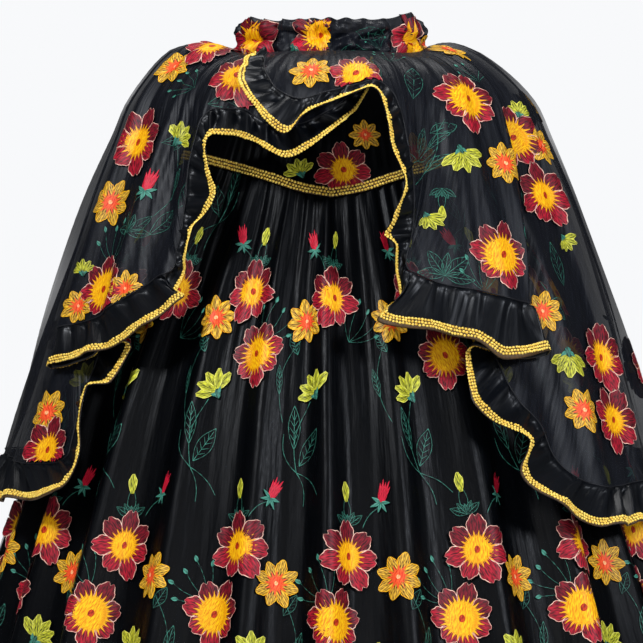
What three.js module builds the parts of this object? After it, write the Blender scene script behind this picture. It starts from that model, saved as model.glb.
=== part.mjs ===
// A full-length umbanda skirt, filled out as it is worn: a ruched elastic waistband, a hip yoke with a gathered
// skirt of embroidered organza over satin, and a cut-away overskirt in two halves that cross at the centre front.
// Each half ends in a gathered satin ruffle edged with gold braid, and its hem steps down in folds towards the side.
// Millimetres, +Z up, the front faces -Y. The origin is the centre of the waist, where the wearer holds the skirt up.
import * as THREE from "three";

// Cloth and seams.
const WALL = 1.5;
const SEAM_GAP = 0.4;
const RUFFLE_GAP = 1.2;
const BRAID_THICKNESS = 1.8;
const BRAID_LIFT = 0.4;
const HALF_TURN = 180;

// The elastic waistband: its inner ellipse and its ruched profile, from the frill down to the waist seam.
const WAIST = { wide: 116, deep: 82 };
const BAND_GATHERS = 24;
const POINTS_A_GATHER = 4;
const BAND_PROFILE = [
  { z: 18, out: 4, ruching: 4 },
  { z: 7, out: 9, ruching: 4 },
  { z: -6, out: 4, ruching: 2 },
  { z: -19, out: 12, ruching: 4 },
  { z: -33.6, out: 7, ruching: 0.2 },
];
// Where the frill above the casing stands up into peaks.
const FRILL_PEAKS = [
  { az: -62, rise: 7, spread: 14 },
  { az: 58, rise: 12, spread: 16 },
  { az: 140, rise: 5, spread: 24 },
  { az: -150, rise: 4, spread: 26 },
];

// The skirt under the overskirt: half width and half depth of its mean line, by drop below the waist.
const WAIST_SEAM_DROP = 34;
const SKIRT_LENGTH = 960;
const SKIRT_FORM = [
  { drop: WAIST_SEAM_DROP, wide: 124, deep: 88 },
  { drop: 100, wide: 168, deep: 126 },
  { drop: 200, wide: 214, deep: 164 },
  { drop: 340, wide: 292, deep: 228 },
  { drop: 475, wide: 352, deep: 282 },
  { drop: 640, wide: 408, deep: 336 },
  { drop: 800, wide: 456, deep: 386 },
  { drop: SKIRT_LENGTH, wide: 500, deep: 430 },
];
const YOKE_ROWS = 2;
const YOKE_SEAM = [
  { az: 0, drop: 210 },
  { az: 9, drop: 204 },
  { az: 22, drop: 189 },
  { az: 38, drop: 174 },
  { az: 60, drop: 160 },
  { az: 90, drop: 152 },
  { az: HALF_TURN, drop: 150 },
];
const YOKE_BRAID_WIDTH = 12;
const YOKE_BRAID_PROUD = 1.8;
const YOKE_BRAID_COLUMNS = 48;

// Pleats of the gathered skirt.
const PLEATS = 24;
const POINTS_A_PLEAT = 5;
const SKIRT_ROWS = 5;
const SKIRT_ROW_CROWDING = 1.2;
const PLEAT_DEPTH = [
  { below: 0, depth: 0 },
  { below: 70, depth: 5 },
  { below: 300, depth: 11 },
  { below: 520, depth: 17 },
  { below: 810, depth: 25 },
];

// The overskirt's drape, measured roughly along the cloth from the waist seam. It springs out over the hips before it
// falls, and at the sides it first rises beside the waistband: rise is how much higher it stands there than in front.
const DRAPE = [
  { along: 0, wide: 125.6, deep: 90.6, z: -34.8, rise: 0 },
  { along: 18, wide: 148, deep: 112, z: -34, rise: 22 },
  { along: 38, wide: 168, deep: 127, z: -35, rise: 28 },
  { along: 60, wide: 190, deep: 144, z: -40, rise: 27 },
  { along: 84, wide: 212, deep: 161, z: -48, rise: 20 },
  { along: 120, wide: 238, deep: 182, z: -63, rise: 9 },
  { along: 160, wide: 262, deep: 199, z: -88, rise: 2 },
  { along: 205, wide: 279, deep: 213, z: -127, rise: 0 },
  { along: 300, wide: 315, deep: 243, z: -216, rise: 0 },
  { along: 440, wide: 359, deep: 281, z: -349, rise: 0 },
  { along: 580, wide: 397, deep: 319, z: -481, rise: 0 },
  { along: 700, wide: 432, deep: 355, z: -594, rise: 0 },
  { along: 800, wide: 466, deep: 386, z: -688, rise: 0 },
];
const RISE_BETWEEN = { front: 30, side: 75 };
const PUFF = { right: -0.4, left: 0.5 };
const SHOULDER_ROWS = [0, 35, 75, 120];
const SHOULDER_LENGTH = 150;
const HANGING_ROWS = 4;
const THREAD_BEND = 1.5;
const OUT_BEND = 0.35;
const STATIONS_A_FLUTE = 5;
const RUFFLE_COLUMNS_A_STATION = 3;
const COLUMNS_A_RIPPLE = 4;
const RUFFLE_DEPTHS = [0, 0.42, 0.8, 1];
const CROSSING = { atWaist: 2.2, lift: 6, fullAt: 35, endsAt: 60 };

// The overskirt's halves, fold by fold, from the centre front round to the centre back. Each row is one fold of the
// hem. waist: where its thread line leaves the waist seam. seam: where the organza ends and the ruffle is sewn on.
// edge: the ruffle's free edge. az in degrees from the centre front towards that half's own side, along and out in
// mm on the drape, steps: stations from this fold to the next, flute and ripple: the depth of the small waves.
const RIGHT_FOLDS = [
  { steps: 1, waist: -28, seamAz: -27, seamAlong: 42, seamOut: 3, flute: 0, edgeAz: -30, edgeAlong: 58, edgeOut: 6, ripple: 0 },
  { steps: 1, waist: -24.5, seamAz: -23.5, seamAlong: 72, seamOut: 8, flute: 0, edgeAz: -28.5, edgeAlong: 80, edgeOut: 14, ripple: 0 },
  { steps: 1, waist: -21, seamAz: -20.5, seamAlong: 102, seamOut: 12, flute: 0, edgeAz: -26, edgeAlong: 103, edgeOut: 21, ripple: 0 },
  { steps: 1, waist: -17, seamAz: -17, seamAlong: 137, seamOut: 16, flute: 0, edgeAz: -24.5, edgeAlong: 136, edgeOut: 28, ripple: 0 },
  { steps: 1, waist: -13, seamAz: -12.5, seamAlong: 165, seamOut: 17, flute: 0, edgeAz: -18, edgeAlong: 184, edgeOut: 32, ripple: 0 },
  { steps: 1, waist: -8, seamAz: -7.5, seamAlong: 175, seamOut: 17, flute: 0, edgeAz: -10.5, edgeAlong: 224, edgeOut: 32, ripple: 1 },
  { steps: 1, waist: -2, seamAz: -1.5, seamAlong: 166, seamOut: 16, flute: 0, edgeAz: -5, edgeAlong: 193, edgeOut: 29, ripple: 1 },
  { steps: 1, waist: 3, seamAz: 4.5, seamAlong: 156, seamOut: 15, flute: 0, edgeAz: 2, edgeAlong: 177, edgeOut: 29, ripple: 1 },
  { steps: 1, waist: 7, seamAz: 11, seamAlong: 146, seamOut: 16, flute: 0, edgeAz: 8.7, edgeAlong: 160, edgeOut: 34, ripple: 1 },
  { steps: 1, waist: 11, seamAz: 15.5, seamAlong: 168, seamOut: 16, flute: 0, edgeAz: 11.5, edgeAlong: 185, edgeOut: 38, ripple: 1 },
  { steps: 1, waist: 15, seamAz: 17.2, seamAlong: 218, seamOut: 15, flute: 0, edgeAz: 12, edgeAlong: 232, edgeOut: 38, ripple: 1 },
  { steps: 1, waist: 20, seamAz: 17.5, seamAlong: 277, seamOut: 14, flute: 0, edgeAz: 14.2, edgeAlong: 287, edgeOut: 37, ripple: 1 },
  { steps: 1, waist: 26, seamAz: 17, seamAlong: 323, seamOut: 11, flute: 0, edgeAz: 11.5, edgeAlong: 332, edgeOut: 34, ripple: 1 },
  { steps: 1, waist: 30, seamAz: 16.2, seamAlong: 353, seamOut: 8, flute: 0, edgeAz: 10, edgeAlong: 355, edgeOut: 28, ripple: 1 },
  { steps: 1, waist: 33, seamAz: 15.2, seamAlong: 374, seamOut: 6, flute: 0, edgeAz: 12, edgeAlong: 370, edgeOut: 18, ripple: 0 },
  { steps: 1, waist: 34.5, seamAz: 14.8, seamAlong: 384, seamOut: 5, flute: 0, edgeAz: 12.2, edgeAlong: 384, edgeOut: 8, ripple: 0 },
  { steps: 1, waist: 35.5, seamAz: 14.6, seamAlong: 391, seamOut: 5, flute: 0, edgeAz: 12.8, edgeAlong: 402, edgeOut: -4, ripple: 0 },
  { steps: 1, waist: 36.5, seamAz: 14.8, seamAlong: 398, seamOut: 6, flute: 0, edgeAz: 13.8, edgeAlong: 434, edgeOut: -8, ripple: 0 },
  { steps: 1, waist: 37.5, seamAz: 16.6, seamAlong: 405, seamOut: 9, flute: 0, edgeAz: 8, edgeAlong: 464, edgeOut: 18, ripple: 0 },
  { steps: 1, waist: 40, seamAz: 21.6, seamAlong: 417, seamOut: 13, flute: 0, edgeAz: 17.7, edgeAlong: 478, edgeOut: 24, ripple: 3 },
  { steps: 1, waist: 43, seamAz: 29, seamAlong: 425, seamOut: 10, flute: 0, edgeAz: 25, edgeAlong: 487, edgeOut: 20, ripple: 3 },
  { steps: 1, waist: 46.5, seamAz: 36, seamAlong: 436, seamOut: 16, flute: 0, edgeAz: 31, edgeAlong: 513, edgeOut: 26, ripple: 1 },
  { steps: 1, waist: 50, seamAz: 40.5, seamAlong: 441, seamOut: 18, flute: 0, edgeAz: 41.5, edgeAlong: 502, edgeOut: 28, ripple: 0 },
  { steps: 1, waist: 52, seamAz: 41, seamAlong: 447, seamOut: 12, flute: 0, edgeAz: 42, edgeAlong: 508, edgeOut: 19, ripple: 0 },
  { steps: 1, waist: 55, seamAz: 38, seamAlong: 459, seamOut: 5, flute: 0, edgeAz: 36, edgeAlong: 512, edgeOut: 11, ripple: 0 },
  { steps: 1, waist: 58, seamAz: 31.5, seamAlong: 470, seamOut: -1, flute: 0, edgeAz: 27, edgeAlong: 494, edgeOut: 3, ripple: 0 },
  { steps: 1, waist: 60, seamAz: 31, seamAlong: 480, seamOut: -8, flute: 0, edgeAz: 26, edgeAlong: 503, edgeOut: -5, ripple: 0 },
  { steps: 1, waist: 63, seamAz: 33, seamAlong: 524, seamOut: -8, flute: 0, edgeAz: 25, edgeAlong: 561, edgeOut: 8, ripple: 0 },
  { steps: 1, waist: 66, seamAz: 34.6, seamAlong: 565, seamOut: 0, flute: 0, edgeAz: 28.4, edgeAlong: 595, edgeOut: 18, ripple: 2 },
  { steps: 1, waist: 69, seamAz: 38.7, seamAlong: 600, seamOut: 6, flute: 0, edgeAz: 33.4, edgeAlong: 615, edgeOut: 24, ripple: 2 },
  { steps: 1, waist: 72, seamAz: 40, seamAlong: 632, seamOut: 7, flute: 0, edgeAz: 30.6, edgeAlong: 652, edgeOut: 20, ripple: 2 },
  { steps: 1, waist: 76, seamAz: 44.8, seamAlong: 668, seamOut: 10, flute: 0, edgeAz: 36.4, edgeAlong: 697, edgeOut: 24, ripple: 3 },
  { steps: 2, waist: 81, seamAz: 52, seamAlong: 680, seamOut: 8, flute: 0, edgeAz: 45.8, edgeAlong: 727, edgeOut: 24, ripple: 4 },
  { steps: 3, waist: 88, seamAz: 62, seamAlong: 676, seamOut: 12, flute: 2, edgeAz: 56, edgeAlong: 726, edgeOut: 26, ripple: 5 },
  { steps: 4, waist: 100, seamAz: 79, seamAlong: 654, seamOut: 10, flute: 8, edgeAz: 78, edgeAlong: 708, edgeOut: 24, ripple: 6 },
  { steps: 5, waist: 114, seamAz: 104, seamAlong: 645, seamOut: 10, flute: 10, edgeAz: 104, edgeAlong: 702, edgeOut: 24, ripple: 6 },
  { steps: 5, waist: 137, seamAz: 131, seamAlong: 648, seamOut: 10, flute: 10, edgeAz: 131, edgeAlong: 705, edgeOut: 24, ripple: 6 },
  { steps: 5, waist: 159, seamAz: 156, seamAlong: 652, seamOut: 10, flute: 10, edgeAz: 156, edgeAlong: 709, edgeOut: 24, ripple: 6 },
  { steps: 1, waist: 180, seamAz: 180, seamAlong: 655, seamOut: 10, flute: 0, edgeAz: 180, edgeAlong: 712, edgeOut: 22, ripple: 0 },
];
const LEFT_FOLDS = [
  { steps: 1, waist: -14, seamAz: -14, seamAlong: 50, seamOut: 1, flute: 0, edgeAz: -15, edgeAlong: 60, edgeOut: 2, ripple: 0 },
  { steps: 1, waist: -11, seamAz: -11, seamAlong: 110, seamOut: 3, flute: 0, edgeAz: -12, edgeAlong: 124, edgeOut: 4, ripple: 0 },
  { steps: 1, waist: -7, seamAz: -5, seamAlong: 164, seamOut: 4, flute: 0, edgeAz: -7, edgeAlong: 181, edgeOut: 6, ripple: 0 },
  { steps: 1, waist: -2, seamAz: 3.5, seamAlong: 196, seamOut: 4, flute: 0, edgeAz: -2, edgeAlong: 206, edgeOut: 8, ripple: 0 },
  { steps: 1, waist: 3, seamAz: 8, seamAlong: 206, seamOut: 4, flute: 0, edgeAz: 4, edgeAlong: 234, edgeOut: 10, ripple: 0 },
  { steps: 1, waist: 9, seamAz: 13, seamAlong: 210, seamOut: 4, flute: 0, edgeAz: 10.5, edgeAlong: 252, edgeOut: 12, ripple: 0 },
  { steps: 1, waist: 14, seamAz: 18, seamAlong: 200, seamOut: 4, flute: 0, edgeAz: 17, edgeAlong: 234, edgeOut: 12, ripple: 0 },
  { steps: 1, waist: 20, seamAz: 24, seamAlong: 184, seamOut: 6, flute: 0, edgeAz: 22.5, edgeAlong: 223, edgeOut: 14, ripple: 1 },
  { steps: 1, waist: 28, seamAz: 31, seamAlong: 183, seamOut: 10, flute: 0, edgeAz: 29, edgeAlong: 219, edgeOut: 20, ripple: 1 },
  { steps: 1, waist: 36, seamAz: 33.9, seamAlong: 205, seamOut: 12, flute: 0, edgeAz: 29.2, edgeAlong: 235, edgeOut: 25, ripple: 1 },
  { steps: 1, waist: 41, seamAz: 34, seamAlong: 253, seamOut: 11, flute: 0, edgeAz: 26.8, edgeAlong: 271, edgeOut: 29, ripple: 1 },
  { steps: 1, waist: 44.5, seamAz: 33.2, seamAlong: 300, seamOut: 9, flute: 0, edgeAz: 24.5, edgeAlong: 303, edgeOut: 31, ripple: 1 },
  { steps: 1, waist: 46.5, seamAz: 33, seamAlong: 326, seamOut: 8, flute: 0, edgeAz: 26.8, edgeAlong: 327, edgeOut: 27, ripple: 1 },
  { steps: 1, waist: 48, seamAz: 32.7, seamAlong: 352, seamOut: 8, flute: 0, edgeAz: 29, edgeAlong: 350, edgeOut: 22, ripple: 1 },
  { steps: 1, waist: 49.5, seamAz: 33.2, seamAlong: 374, seamOut: 6, flute: 0, edgeAz: 29.6, edgeAlong: 372, edgeOut: 16, ripple: 0 },
  { steps: 1, waist: 50.5, seamAz: 33, seamAlong: 386, seamOut: 5, flute: 0, edgeAz: 30.8, edgeAlong: 386, edgeOut: 6, ripple: 0 },
  { steps: 1, waist: 51.3, seamAz: 33.2, seamAlong: 394, seamOut: 5, flute: 0, edgeAz: 32, edgeAlong: 404, edgeOut: -5, ripple: 0 },
  { steps: 1, waist: 52, seamAz: 34, seamAlong: 400, seamOut: 6, flute: 0, edgeAz: 33.3, edgeAlong: 428, edgeOut: -8, ripple: 0 },
  { steps: 1, waist: 53, seamAz: 36.3, seamAlong: 405, seamOut: 9, flute: 0, edgeAz: 28.5, edgeAlong: 432, edgeOut: 18, ripple: 0 },
  { steps: 1, waist: 55.5, seamAz: 43.5, seamAlong: 432, seamOut: 13, flute: 0, edgeAz: 35, edgeAlong: 468, edgeOut: 24, ripple: 3 },
  { steps: 1, waist: 58.5, seamAz: 50.7, seamAlong: 456, seamOut: 10, flute: 0, edgeAz: 43.7, edgeAlong: 497, edgeOut: 20, ripple: 3 },
  { steps: 1, waist: 61, seamAz: 56.8, seamAlong: 466, seamOut: 15, flute: 0, edgeAz: 51, edgeAlong: 511, edgeOut: 26, ripple: 1 },
  { steps: 1, waist: 63.5, seamAz: 62, seamAlong: 472, seamOut: 18, flute: 0, edgeAz: 59.5, edgeAlong: 521, edgeOut: 28, ripple: 0 },
  { steps: 1, waist: 65.5, seamAz: 62.5, seamAlong: 477, seamOut: 12, flute: 0, edgeAz: 60, edgeAlong: 526, edgeOut: 19, ripple: 0 },
  { steps: 1, waist: 67.5, seamAz: 58.5, seamAlong: 472, seamOut: 6, flute: 0, edgeAz: 53, edgeAlong: 514, edgeOut: 9, ripple: 0 },
  { steps: 1, waist: 70, seamAz: 52, seamAlong: 467, seamOut: -1, flute: 0, edgeAz: 43, edgeAlong: 489, edgeOut: 3, ripple: 0 },
  { steps: 1, waist: 72, seamAz: 51, seamAlong: 472, seamOut: -9, flute: 0, edgeAz: 42, edgeAlong: 498, edgeOut: -5, ripple: 0 },
  { steps: 1, waist: 76, seamAz: 53, seamAlong: 516, seamOut: -9, flute: 0, edgeAz: 44.5, edgeAlong: 545, edgeOut: 4, ripple: 0 },
  { steps: 1, waist: 80, seamAz: 53, seamAlong: 557, seamOut: -1, flute: 0, edgeAz: 47, edgeAlong: 547, edgeOut: 16, ripple: 1 },
  { steps: 1, waist: 84, seamAz: 51.5, seamAlong: 606, seamOut: 5, flute: 0, edgeAz: 45.5, edgeAlong: 604, edgeOut: 22, ripple: 1 },
  { steps: 1, waist: 87, seamAz: 51, seamAlong: 636, seamOut: 7, flute: 0, edgeAz: 44.2, edgeAlong: 642, edgeOut: 24, ripple: 1 },
  { steps: 1, waist: 91, seamAz: 55, seamAlong: 650, seamOut: 8, flute: 0, edgeAz: 46.5, edgeAlong: 680, edgeOut: 24, ripple: 3 },
  { steps: 2, waist: 96, seamAz: 64, seamAlong: 652, seamOut: 12, flute: 0, edgeAz: 55, edgeAlong: 696, edgeOut: 26, ripple: 4 },
  { steps: 3, waist: 103, seamAz: 76, seamAlong: 650, seamOut: 10, flute: 3, edgeAz: 70, edgeAlong: 702, edgeOut: 24, ripple: 6 },
  { steps: 4, waist: 113, seamAz: 94, seamAlong: 644, seamOut: 10, flute: 10, edgeAz: 92, edgeAlong: 701, edgeOut: 24, ripple: 6 },
  { steps: 5, waist: 129, seamAz: 117, seamAlong: 646, seamOut: 10, flute: 10, edgeAz: 117, edgeAlong: 703, edgeOut: 24, ripple: 6 },
  { steps: 5, waist: 151, seamAz: 148, seamAlong: 650, seamOut: 10, flute: 10, edgeAz: 148, edgeAlong: 707, edgeOut: 24, ripple: 6 },
  { steps: 1, waist: 180, seamAz: 180, seamAlong: 655, seamOut: 10, flute: 0, edgeAz: 180, edgeAlong: 712, edgeOut: 22, ripple: 0 },
];

const radians = (degrees) => (degrees * Math.PI) / HALF_TURN;
const mix = (a, b, share) => a + (b - a) * share;
const lift = (point, direction, distance) => point.clone().addScaledVector(direction, distance);

// The slope that a smooth curve through three neighbouring rows has at the middle one, with no overshoot.
function slopeAt(before, after) {
  return before * after <= 0 ? 0 : (2 * before * after) / (before + after);
}

// One column of a table, read at any place along its key column as a smooth curve through the rows.
function read(rows, key, name, at) {
  const last = rows.length - 2;
  let k = 0;
  while (k < last && rows[k + 1][key] < at) k += 1;
  const steepness = (n) => (rows[n + 1][name] - rows[n][name]) / (rows[n + 1][key] - rows[n][key]);
  const here = steepness(k);
  const startSlope = k > 0 ? slopeAt(steepness(k - 1), here) : here;
  const endSlope = k < last ? slopeAt(here, steepness(k + 1)) : here;
  const span = rows[k + 1][key] - rows[k][key];
  const t = THREE.MathUtils.clamp((at - rows[k][key]) / span, 0, 1);
  const ease = t * t * (3 - 2 * t);
  return (
    mix(rows[k][name], rows[k + 1][name], ease) +
    span * (t * (1 - t) * (1 - t) * startSlope - t * t * (1 - t) * endSlope)
  );
}

// A point at an azimuth on an ellipse round the wearer, at a height.
function around(az, wide, deep, z) {
  return new THREE.Vector3(wide * Math.sin(radians(az)), -deep * Math.cos(radians(az)), z);
}

// The faces of a grid of points, by point number: rows run down the cloth and columns round it. hand is -1 where the
// columns run clockwise seen from above.
function facesOf(grid, hand, ring) {
  const columns = grid[0].length;
  const faces = [];
  for (let j = 0; j < grid.length - 1; j++) {
    for (let i = 0; i < (ring ? columns : columns - 1); i++) {
      const next = (i + 1) % columns;
      const [a, b, c, d] = [i, i + columns, next + columns, next].map((n) => n + j * columns);
      faces.push(...(hand > 0 ? [a, b, c, a, c, d] : [a, c, b, a, d, c]));
    }
  }
  return faces;
}

function normalsOf(grid, hand, ring) {
  const sheet = new THREE.BufferGeometry().setFromPoints(grid.flat()).setIndex(facesOf(grid, hand, ring));
  sheet.computeVertexNormals();
  const normals = sheet.getAttribute("normal");
  return grid.map((row, j) => row.map((_, i) => new THREE.Vector3().fromBufferAttribute(normals, j * row.length + i)));
}

// Squares one end column of a grid to the seam plane where two halves meet, half a seam gap short of it.
function trimToSeam(grid, normals, column, axis, side) {
  grid.forEach((row, j) => {
    row.at(column)[axis] = (side * SEAM_GAP) / 2;
    normals[j].at(column)[axis] = 0;
    normals[j].at(column).normalize();
  });
}

// A closed wall between two grids of points, an outer and an inner one.
function wallBetween(outer, inner, hand, ring) {
  const columns = outer[0].length;
  const under = outer.length * columns;
  const faces = facesOf(outer, hand, ring);
  const index = [...faces];
  for (let k = 0; k < faces.length; k += 3) index.push(...[faces[k], faces[k + 2], faces[k + 1]].map((n) => n + under));
  const close = (a, b) => index.push(...(hand > 0 ? [a, b, b + under, a, b + under, a + under] : [a, b + under, b, a, a + under, b + under]));
  for (let i = 0; i < (ring ? columns : columns - 1); i++) {
    const next = (i + 1) % columns;
    close(i, next);
    close(under - columns + next, under - columns + i);
  }
  for (let n = 0; !ring && n < under - columns; n += columns) {
    close(n + columns, n);
    close(n + columns - 1, n + columns + columns - 1);
  }
  return new THREE.BufferGeometry().setFromPoints([...outer.flat(), ...inner.flat()]).setIndex(index);
}

// Cloth of one thickness under a grid of outer points.
function cloth(grid, normals, hand, ring = false) {
  const inner = grid.map((row, j) => row.map((point, i) => lift(point, normals[j][i], -WALL)));
  return wallBetween(grid, inner, hand, ring);
}

const MATERIALS = {
  organza: new THREE.MeshStandardMaterial({ color: 0x15171b, roughness: 0.55 }),
  satin: new THREE.MeshStandardMaterial({ color: 0x23262e, roughness: 0.35 }),
  braid: new THREE.MeshStandardMaterial({ color: 0xd2a32c, roughness: 0.4, metalness: 0.5 }),
};
const skirt = new THREE.Group();
function add(name, geometry, material) {
  const mesh = new THREE.Mesh(geometry, MATERIALS[material]);
  mesh.name = name;
  skirt.add(mesh);
}

// --- Waistband -------------------------------------------------------------------------------------------------
// The gathers of the elastic casing wander a little and differ in depth.
function ruching(az, place) {
  const turn = radians(az);
  const wander = 0.5 * Math.sin(3 * turn + place) + 0.4 * Math.sin(5 * turn + 1);
  return Math.cos(BAND_GATHERS * turn + wander) * (0.8 + 0.2 * Math.sin(7 * turn + place));
}

function frillRise(az) {
  const apart = (peak) => HALF_TURN - Math.abs(HALF_TURN - Math.abs(az - ((peak.az + 360) % 360)));
  return FRILL_PEAKS.reduce((sum, peak) => sum + peak.rise * Math.exp(-((apart(peak) / peak.spread) ** 2)), 0);
}

function waistband() {
  const columns = BAND_GATHERS * POINTS_A_GATHER;
  const grid = BAND_PROFILE.map((row, j) =>
    Array.from({ length: columns }, (_, i) => {
      const az = (360 * i) / columns;
      const out = row.out + row.ruching * ruching(az, j * 0.6);
      const frill = j === 0 ? frillRise(az) : 0;
      return around(az, WAIST.wide + out, WAIST.deep + out, row.z + frill);
    }),
  );
  add("waistband", cloth(grid, normalsOf(grid, 1, true), 1, true), "organza");
}

// --- Yoke and gathered skirt -----------------------------------------------------------------------------------
function foldedAz(az) {
  const wrapped = Math.abs(az) % 360;
  return wrapped > HALF_TURN ? 360 - wrapped : wrapped;
}
const yokeDrop = (az) => read(YOKE_SEAM, "az", "drop", foldedAz(az));

function skirtPoint(az, drop, out) {
  const wide = read(SKIRT_FORM, "drop", "wide", drop) + out;
  const deep = read(SKIRT_FORM, "drop", "deep", drop) + out;
  return around(az, wide, deep, -drop);
}

// The pleats differ in width and depth round the skirt. pleat is at its crest at 1 and in its valley at -1.
function pleat(az) {
  const turn = radians(az);
  const wander = 0.9 * Math.sin(2 * turn + 0.5) + 0.6 * Math.sin(5 * turn);
  const crest = Math.cos(PLEATS * turn + wander);
  return (crest + 0.2 * (2 * crest * crest - 1)) * (0.82 + 0.18 * Math.sin(9 * turn + 2));
}

// One half of the body, front or back, between the side seams: pointAt gives a point at an azimuth and a row.
function bodyHalf(name, side, rows, pointAt) {
  const startAz = side < 0 ? -HALF_TURN / 2 : HALF_TURN / 2;
  const columns = (PLEATS / 2) * POINTS_A_PLEAT;
  const grid = Array.from({ length: rows + 1 }, (_, j) =>
    Array.from({ length: columns + 1 }, (_, i) => pointAt(startAz + (HALF_TURN * i) / columns, j / rows)),
  );
  const normals = normalsOf(grid, 1, false);
  trimToSeam(grid, normals, 0, "y", side);
  trimToSeam(grid, normals, -1, "y", side);
  add(name, cloth(grid, normals, 1), "organza");
}

function yoke(name, side) {
  bodyHalf(name, side, YOKE_ROWS, (az, share) =>
    skirtPoint(az, mix(WAIST_SEAM_DROP, yokeDrop(az) - SEAM_GAP / 2, share), 0),
  );
}

function gatheredSkirt(name, side) {
  bodyHalf(name, side, SKIRT_ROWS, (az, share) => {
    const top = yokeDrop(az) + SEAM_GAP / 2;
    const drop = mix(top, SKIRT_LENGTH, share ** SKIRT_ROW_CROWDING);
    return skirtPoint(az, drop, pleat(az) * read(PLEAT_DEPTH, "below", "depth", drop - top));
  });
}

function yokeBraid() {
  const edge = (side, out) =>
    Array.from({ length: YOKE_BRAID_COLUMNS }, (_, i) => {
      const az = (360 * i) / YOKE_BRAID_COLUMNS;
      return skirtPoint(az, yokeDrop(az) + (side * YOKE_BRAID_WIDTH) / 2, out);
    });
  const outer = [edge(-1, YOKE_BRAID_PROUD + BRAID_THICKNESS), edge(1, YOKE_BRAID_PROUD + BRAID_THICKNESS)];
  const inner = [edge(-1, YOKE_BRAID_PROUD), edge(1, YOKE_BRAID_PROUD)];
  add("yoke_braid", wallBetween(outer, inner, 1, true), "braid");
}

// --- Overskirt -------------------------------------------------------------------------------------------------
// A point of one half's drape. out moves it level away from the wearer, raised along the cloth's own normal.
// Beside the waistband the left half puffs out further than the right one, as a share of the rise there.
function drapePoint(hand, az, along, out, raised) {
  const at = (name, place = along) => read(DRAPE, "along", name, place);
  const side = THREE.MathUtils.smoothstep(Math.abs(az), RISE_BETWEEN.front, RISE_BETWEEN.side);
  const height = (place) => at("z", place) + side * at("rise", place);
  const fall = new THREE.Vector2(at("wide", along + 1) - at("wide"), height(along + 1) - height(along)).setLength(raised);
  const level = out - fall.y;
  const puff = side * at("rise") * (hand > 0 ? PUFF.right : PUFF.left);
  return around(hand * az, at("wide") + level + puff, at("deep") + level, height(along) + fall.x);
}

// The right half lies over the left one where they cross in front.
function crossingLift(hand, waist, along) {
  const share = THREE.MathUtils.smoothstep(CROSSING.endsAt - waist, 0, CROSSING.endsAt / 2);
  const grown = THREE.MathUtils.smoothstep(along, 0, CROSSING.fullAt);
  return hand > 0 ? mix(CROSSING.atWaist, CROSSING.lift, grown) * share : 0;
}

// The fold table read at every station, with the stations' shares between folds spread by each row's steps.
function stationsOf(folds, columnsAStation) {
  const keyed = [];
  let place = 0;
  for (const fold of folds) {
    keyed.push({ ...fold, place });
    place += fold.steps;
  }
  const stations = keyed[keyed.length - 1].place;
  return Array.from({ length: stations * columnsAStation + 1 }, (_, i) => {
    const at = i / columnsAStation;
    const row = { place: at, end: stations };
    for (const name of Object.keys(folds[0])) row[name] = read(keyed, "place", name, at);
    return row;
  });
}

// Waves that die out at the centre back seam, where the two halves meet.
const wave = (place, length, end) => Math.cos((2 * Math.PI * (end - place)) / length + Math.PI / 2);

// Rows down a thread line: the first ones lie at the same distances on every thread, to round the hip evenly.
function rowsDown(length) {
  const shoulder = SHOULDER_ROWS.map((along) => along * Math.min(1, length / SHOULDER_LENGTH));
  const hanging = Array.from({ length: HANGING_ROWS }, (_, j) => mix(shoulder.at(-1), length, (j + 1) / HANGING_ROWS));
  return [...shoulder, ...hanging];
}

function panelGrid(hand, stations) {
  const rows = SHOULDER_ROWS.length + HANGING_ROWS;
  return Array.from({ length: rows }, (_, j) =>
    stations.map((s) => {
      const along = rowsDown(s.seamAlong)[j];
      const share = along / s.seamAlong;
      const flute = s.flute * wave(s.place, STATIONS_A_FLUTE, s.end) * share;
      const az = mix(s.waist, s.seamAz, share ** THREAD_BEND);
      return drapePoint(hand, az, along, s.seamOut * share ** OUT_BEND + flute, crossingLift(hand, s.waist, along));
    }),
  );
}

// The ruffle hangs from the panel's last row, a seam gap away, and its gathers grow towards the free edge.
function ruffleGrid(hand, seamRow, seamNormals, columns) {
  const seam = columns.map((c, i) => {
    const k = Math.min(Math.floor(i / RUFFLE_COLUMNS_A_STATION), seamRow.length - 2);
    const share = i / RUFFLE_COLUMNS_A_STATION - k;
    return {
      point: seamRow[k].clone().lerp(seamRow[k + 1], share),
      normal: seamNormals[k].clone().lerp(seamNormals[k + 1], share).normalize(),
    };
  });
  const edge = columns.map((c) => drapePoint(hand, c.edgeAz, c.edgeAlong, c.edgeOut, crossingLift(hand, c.waist, c.edgeAlong)));
  edge.at(-1).x = seam.at(-1).point.x;
  const flat = RUFFLE_DEPTHS.map((depth) =>
    seam.map(({ point }, i) => {
      const start = lift(point, edge[i].clone().sub(point).normalize(), RUFFLE_GAP);
      return start.lerp(edge[i], depth);
    }),
  );
  const flatNormals = normalsOf(flat, hand, false);
  const grid = flat.map((row, j) =>
    row.map((point, i) => {
      const ripple = columns[i].ripple * wave(i, COLUMNS_A_RIPPLE, columns.length - 1) * RUFFLE_DEPTHS[j];
      return lift(point, flatNormals[j][i], ripple);
    }),
  );
  const normals = normalsOf(grid, hand, false);
  normals[0] = seam.map(({ normal }) => normal);
  trimToSeam(grid, normals, -1, "x", hand);
  return { grid, normals };
}

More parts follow.
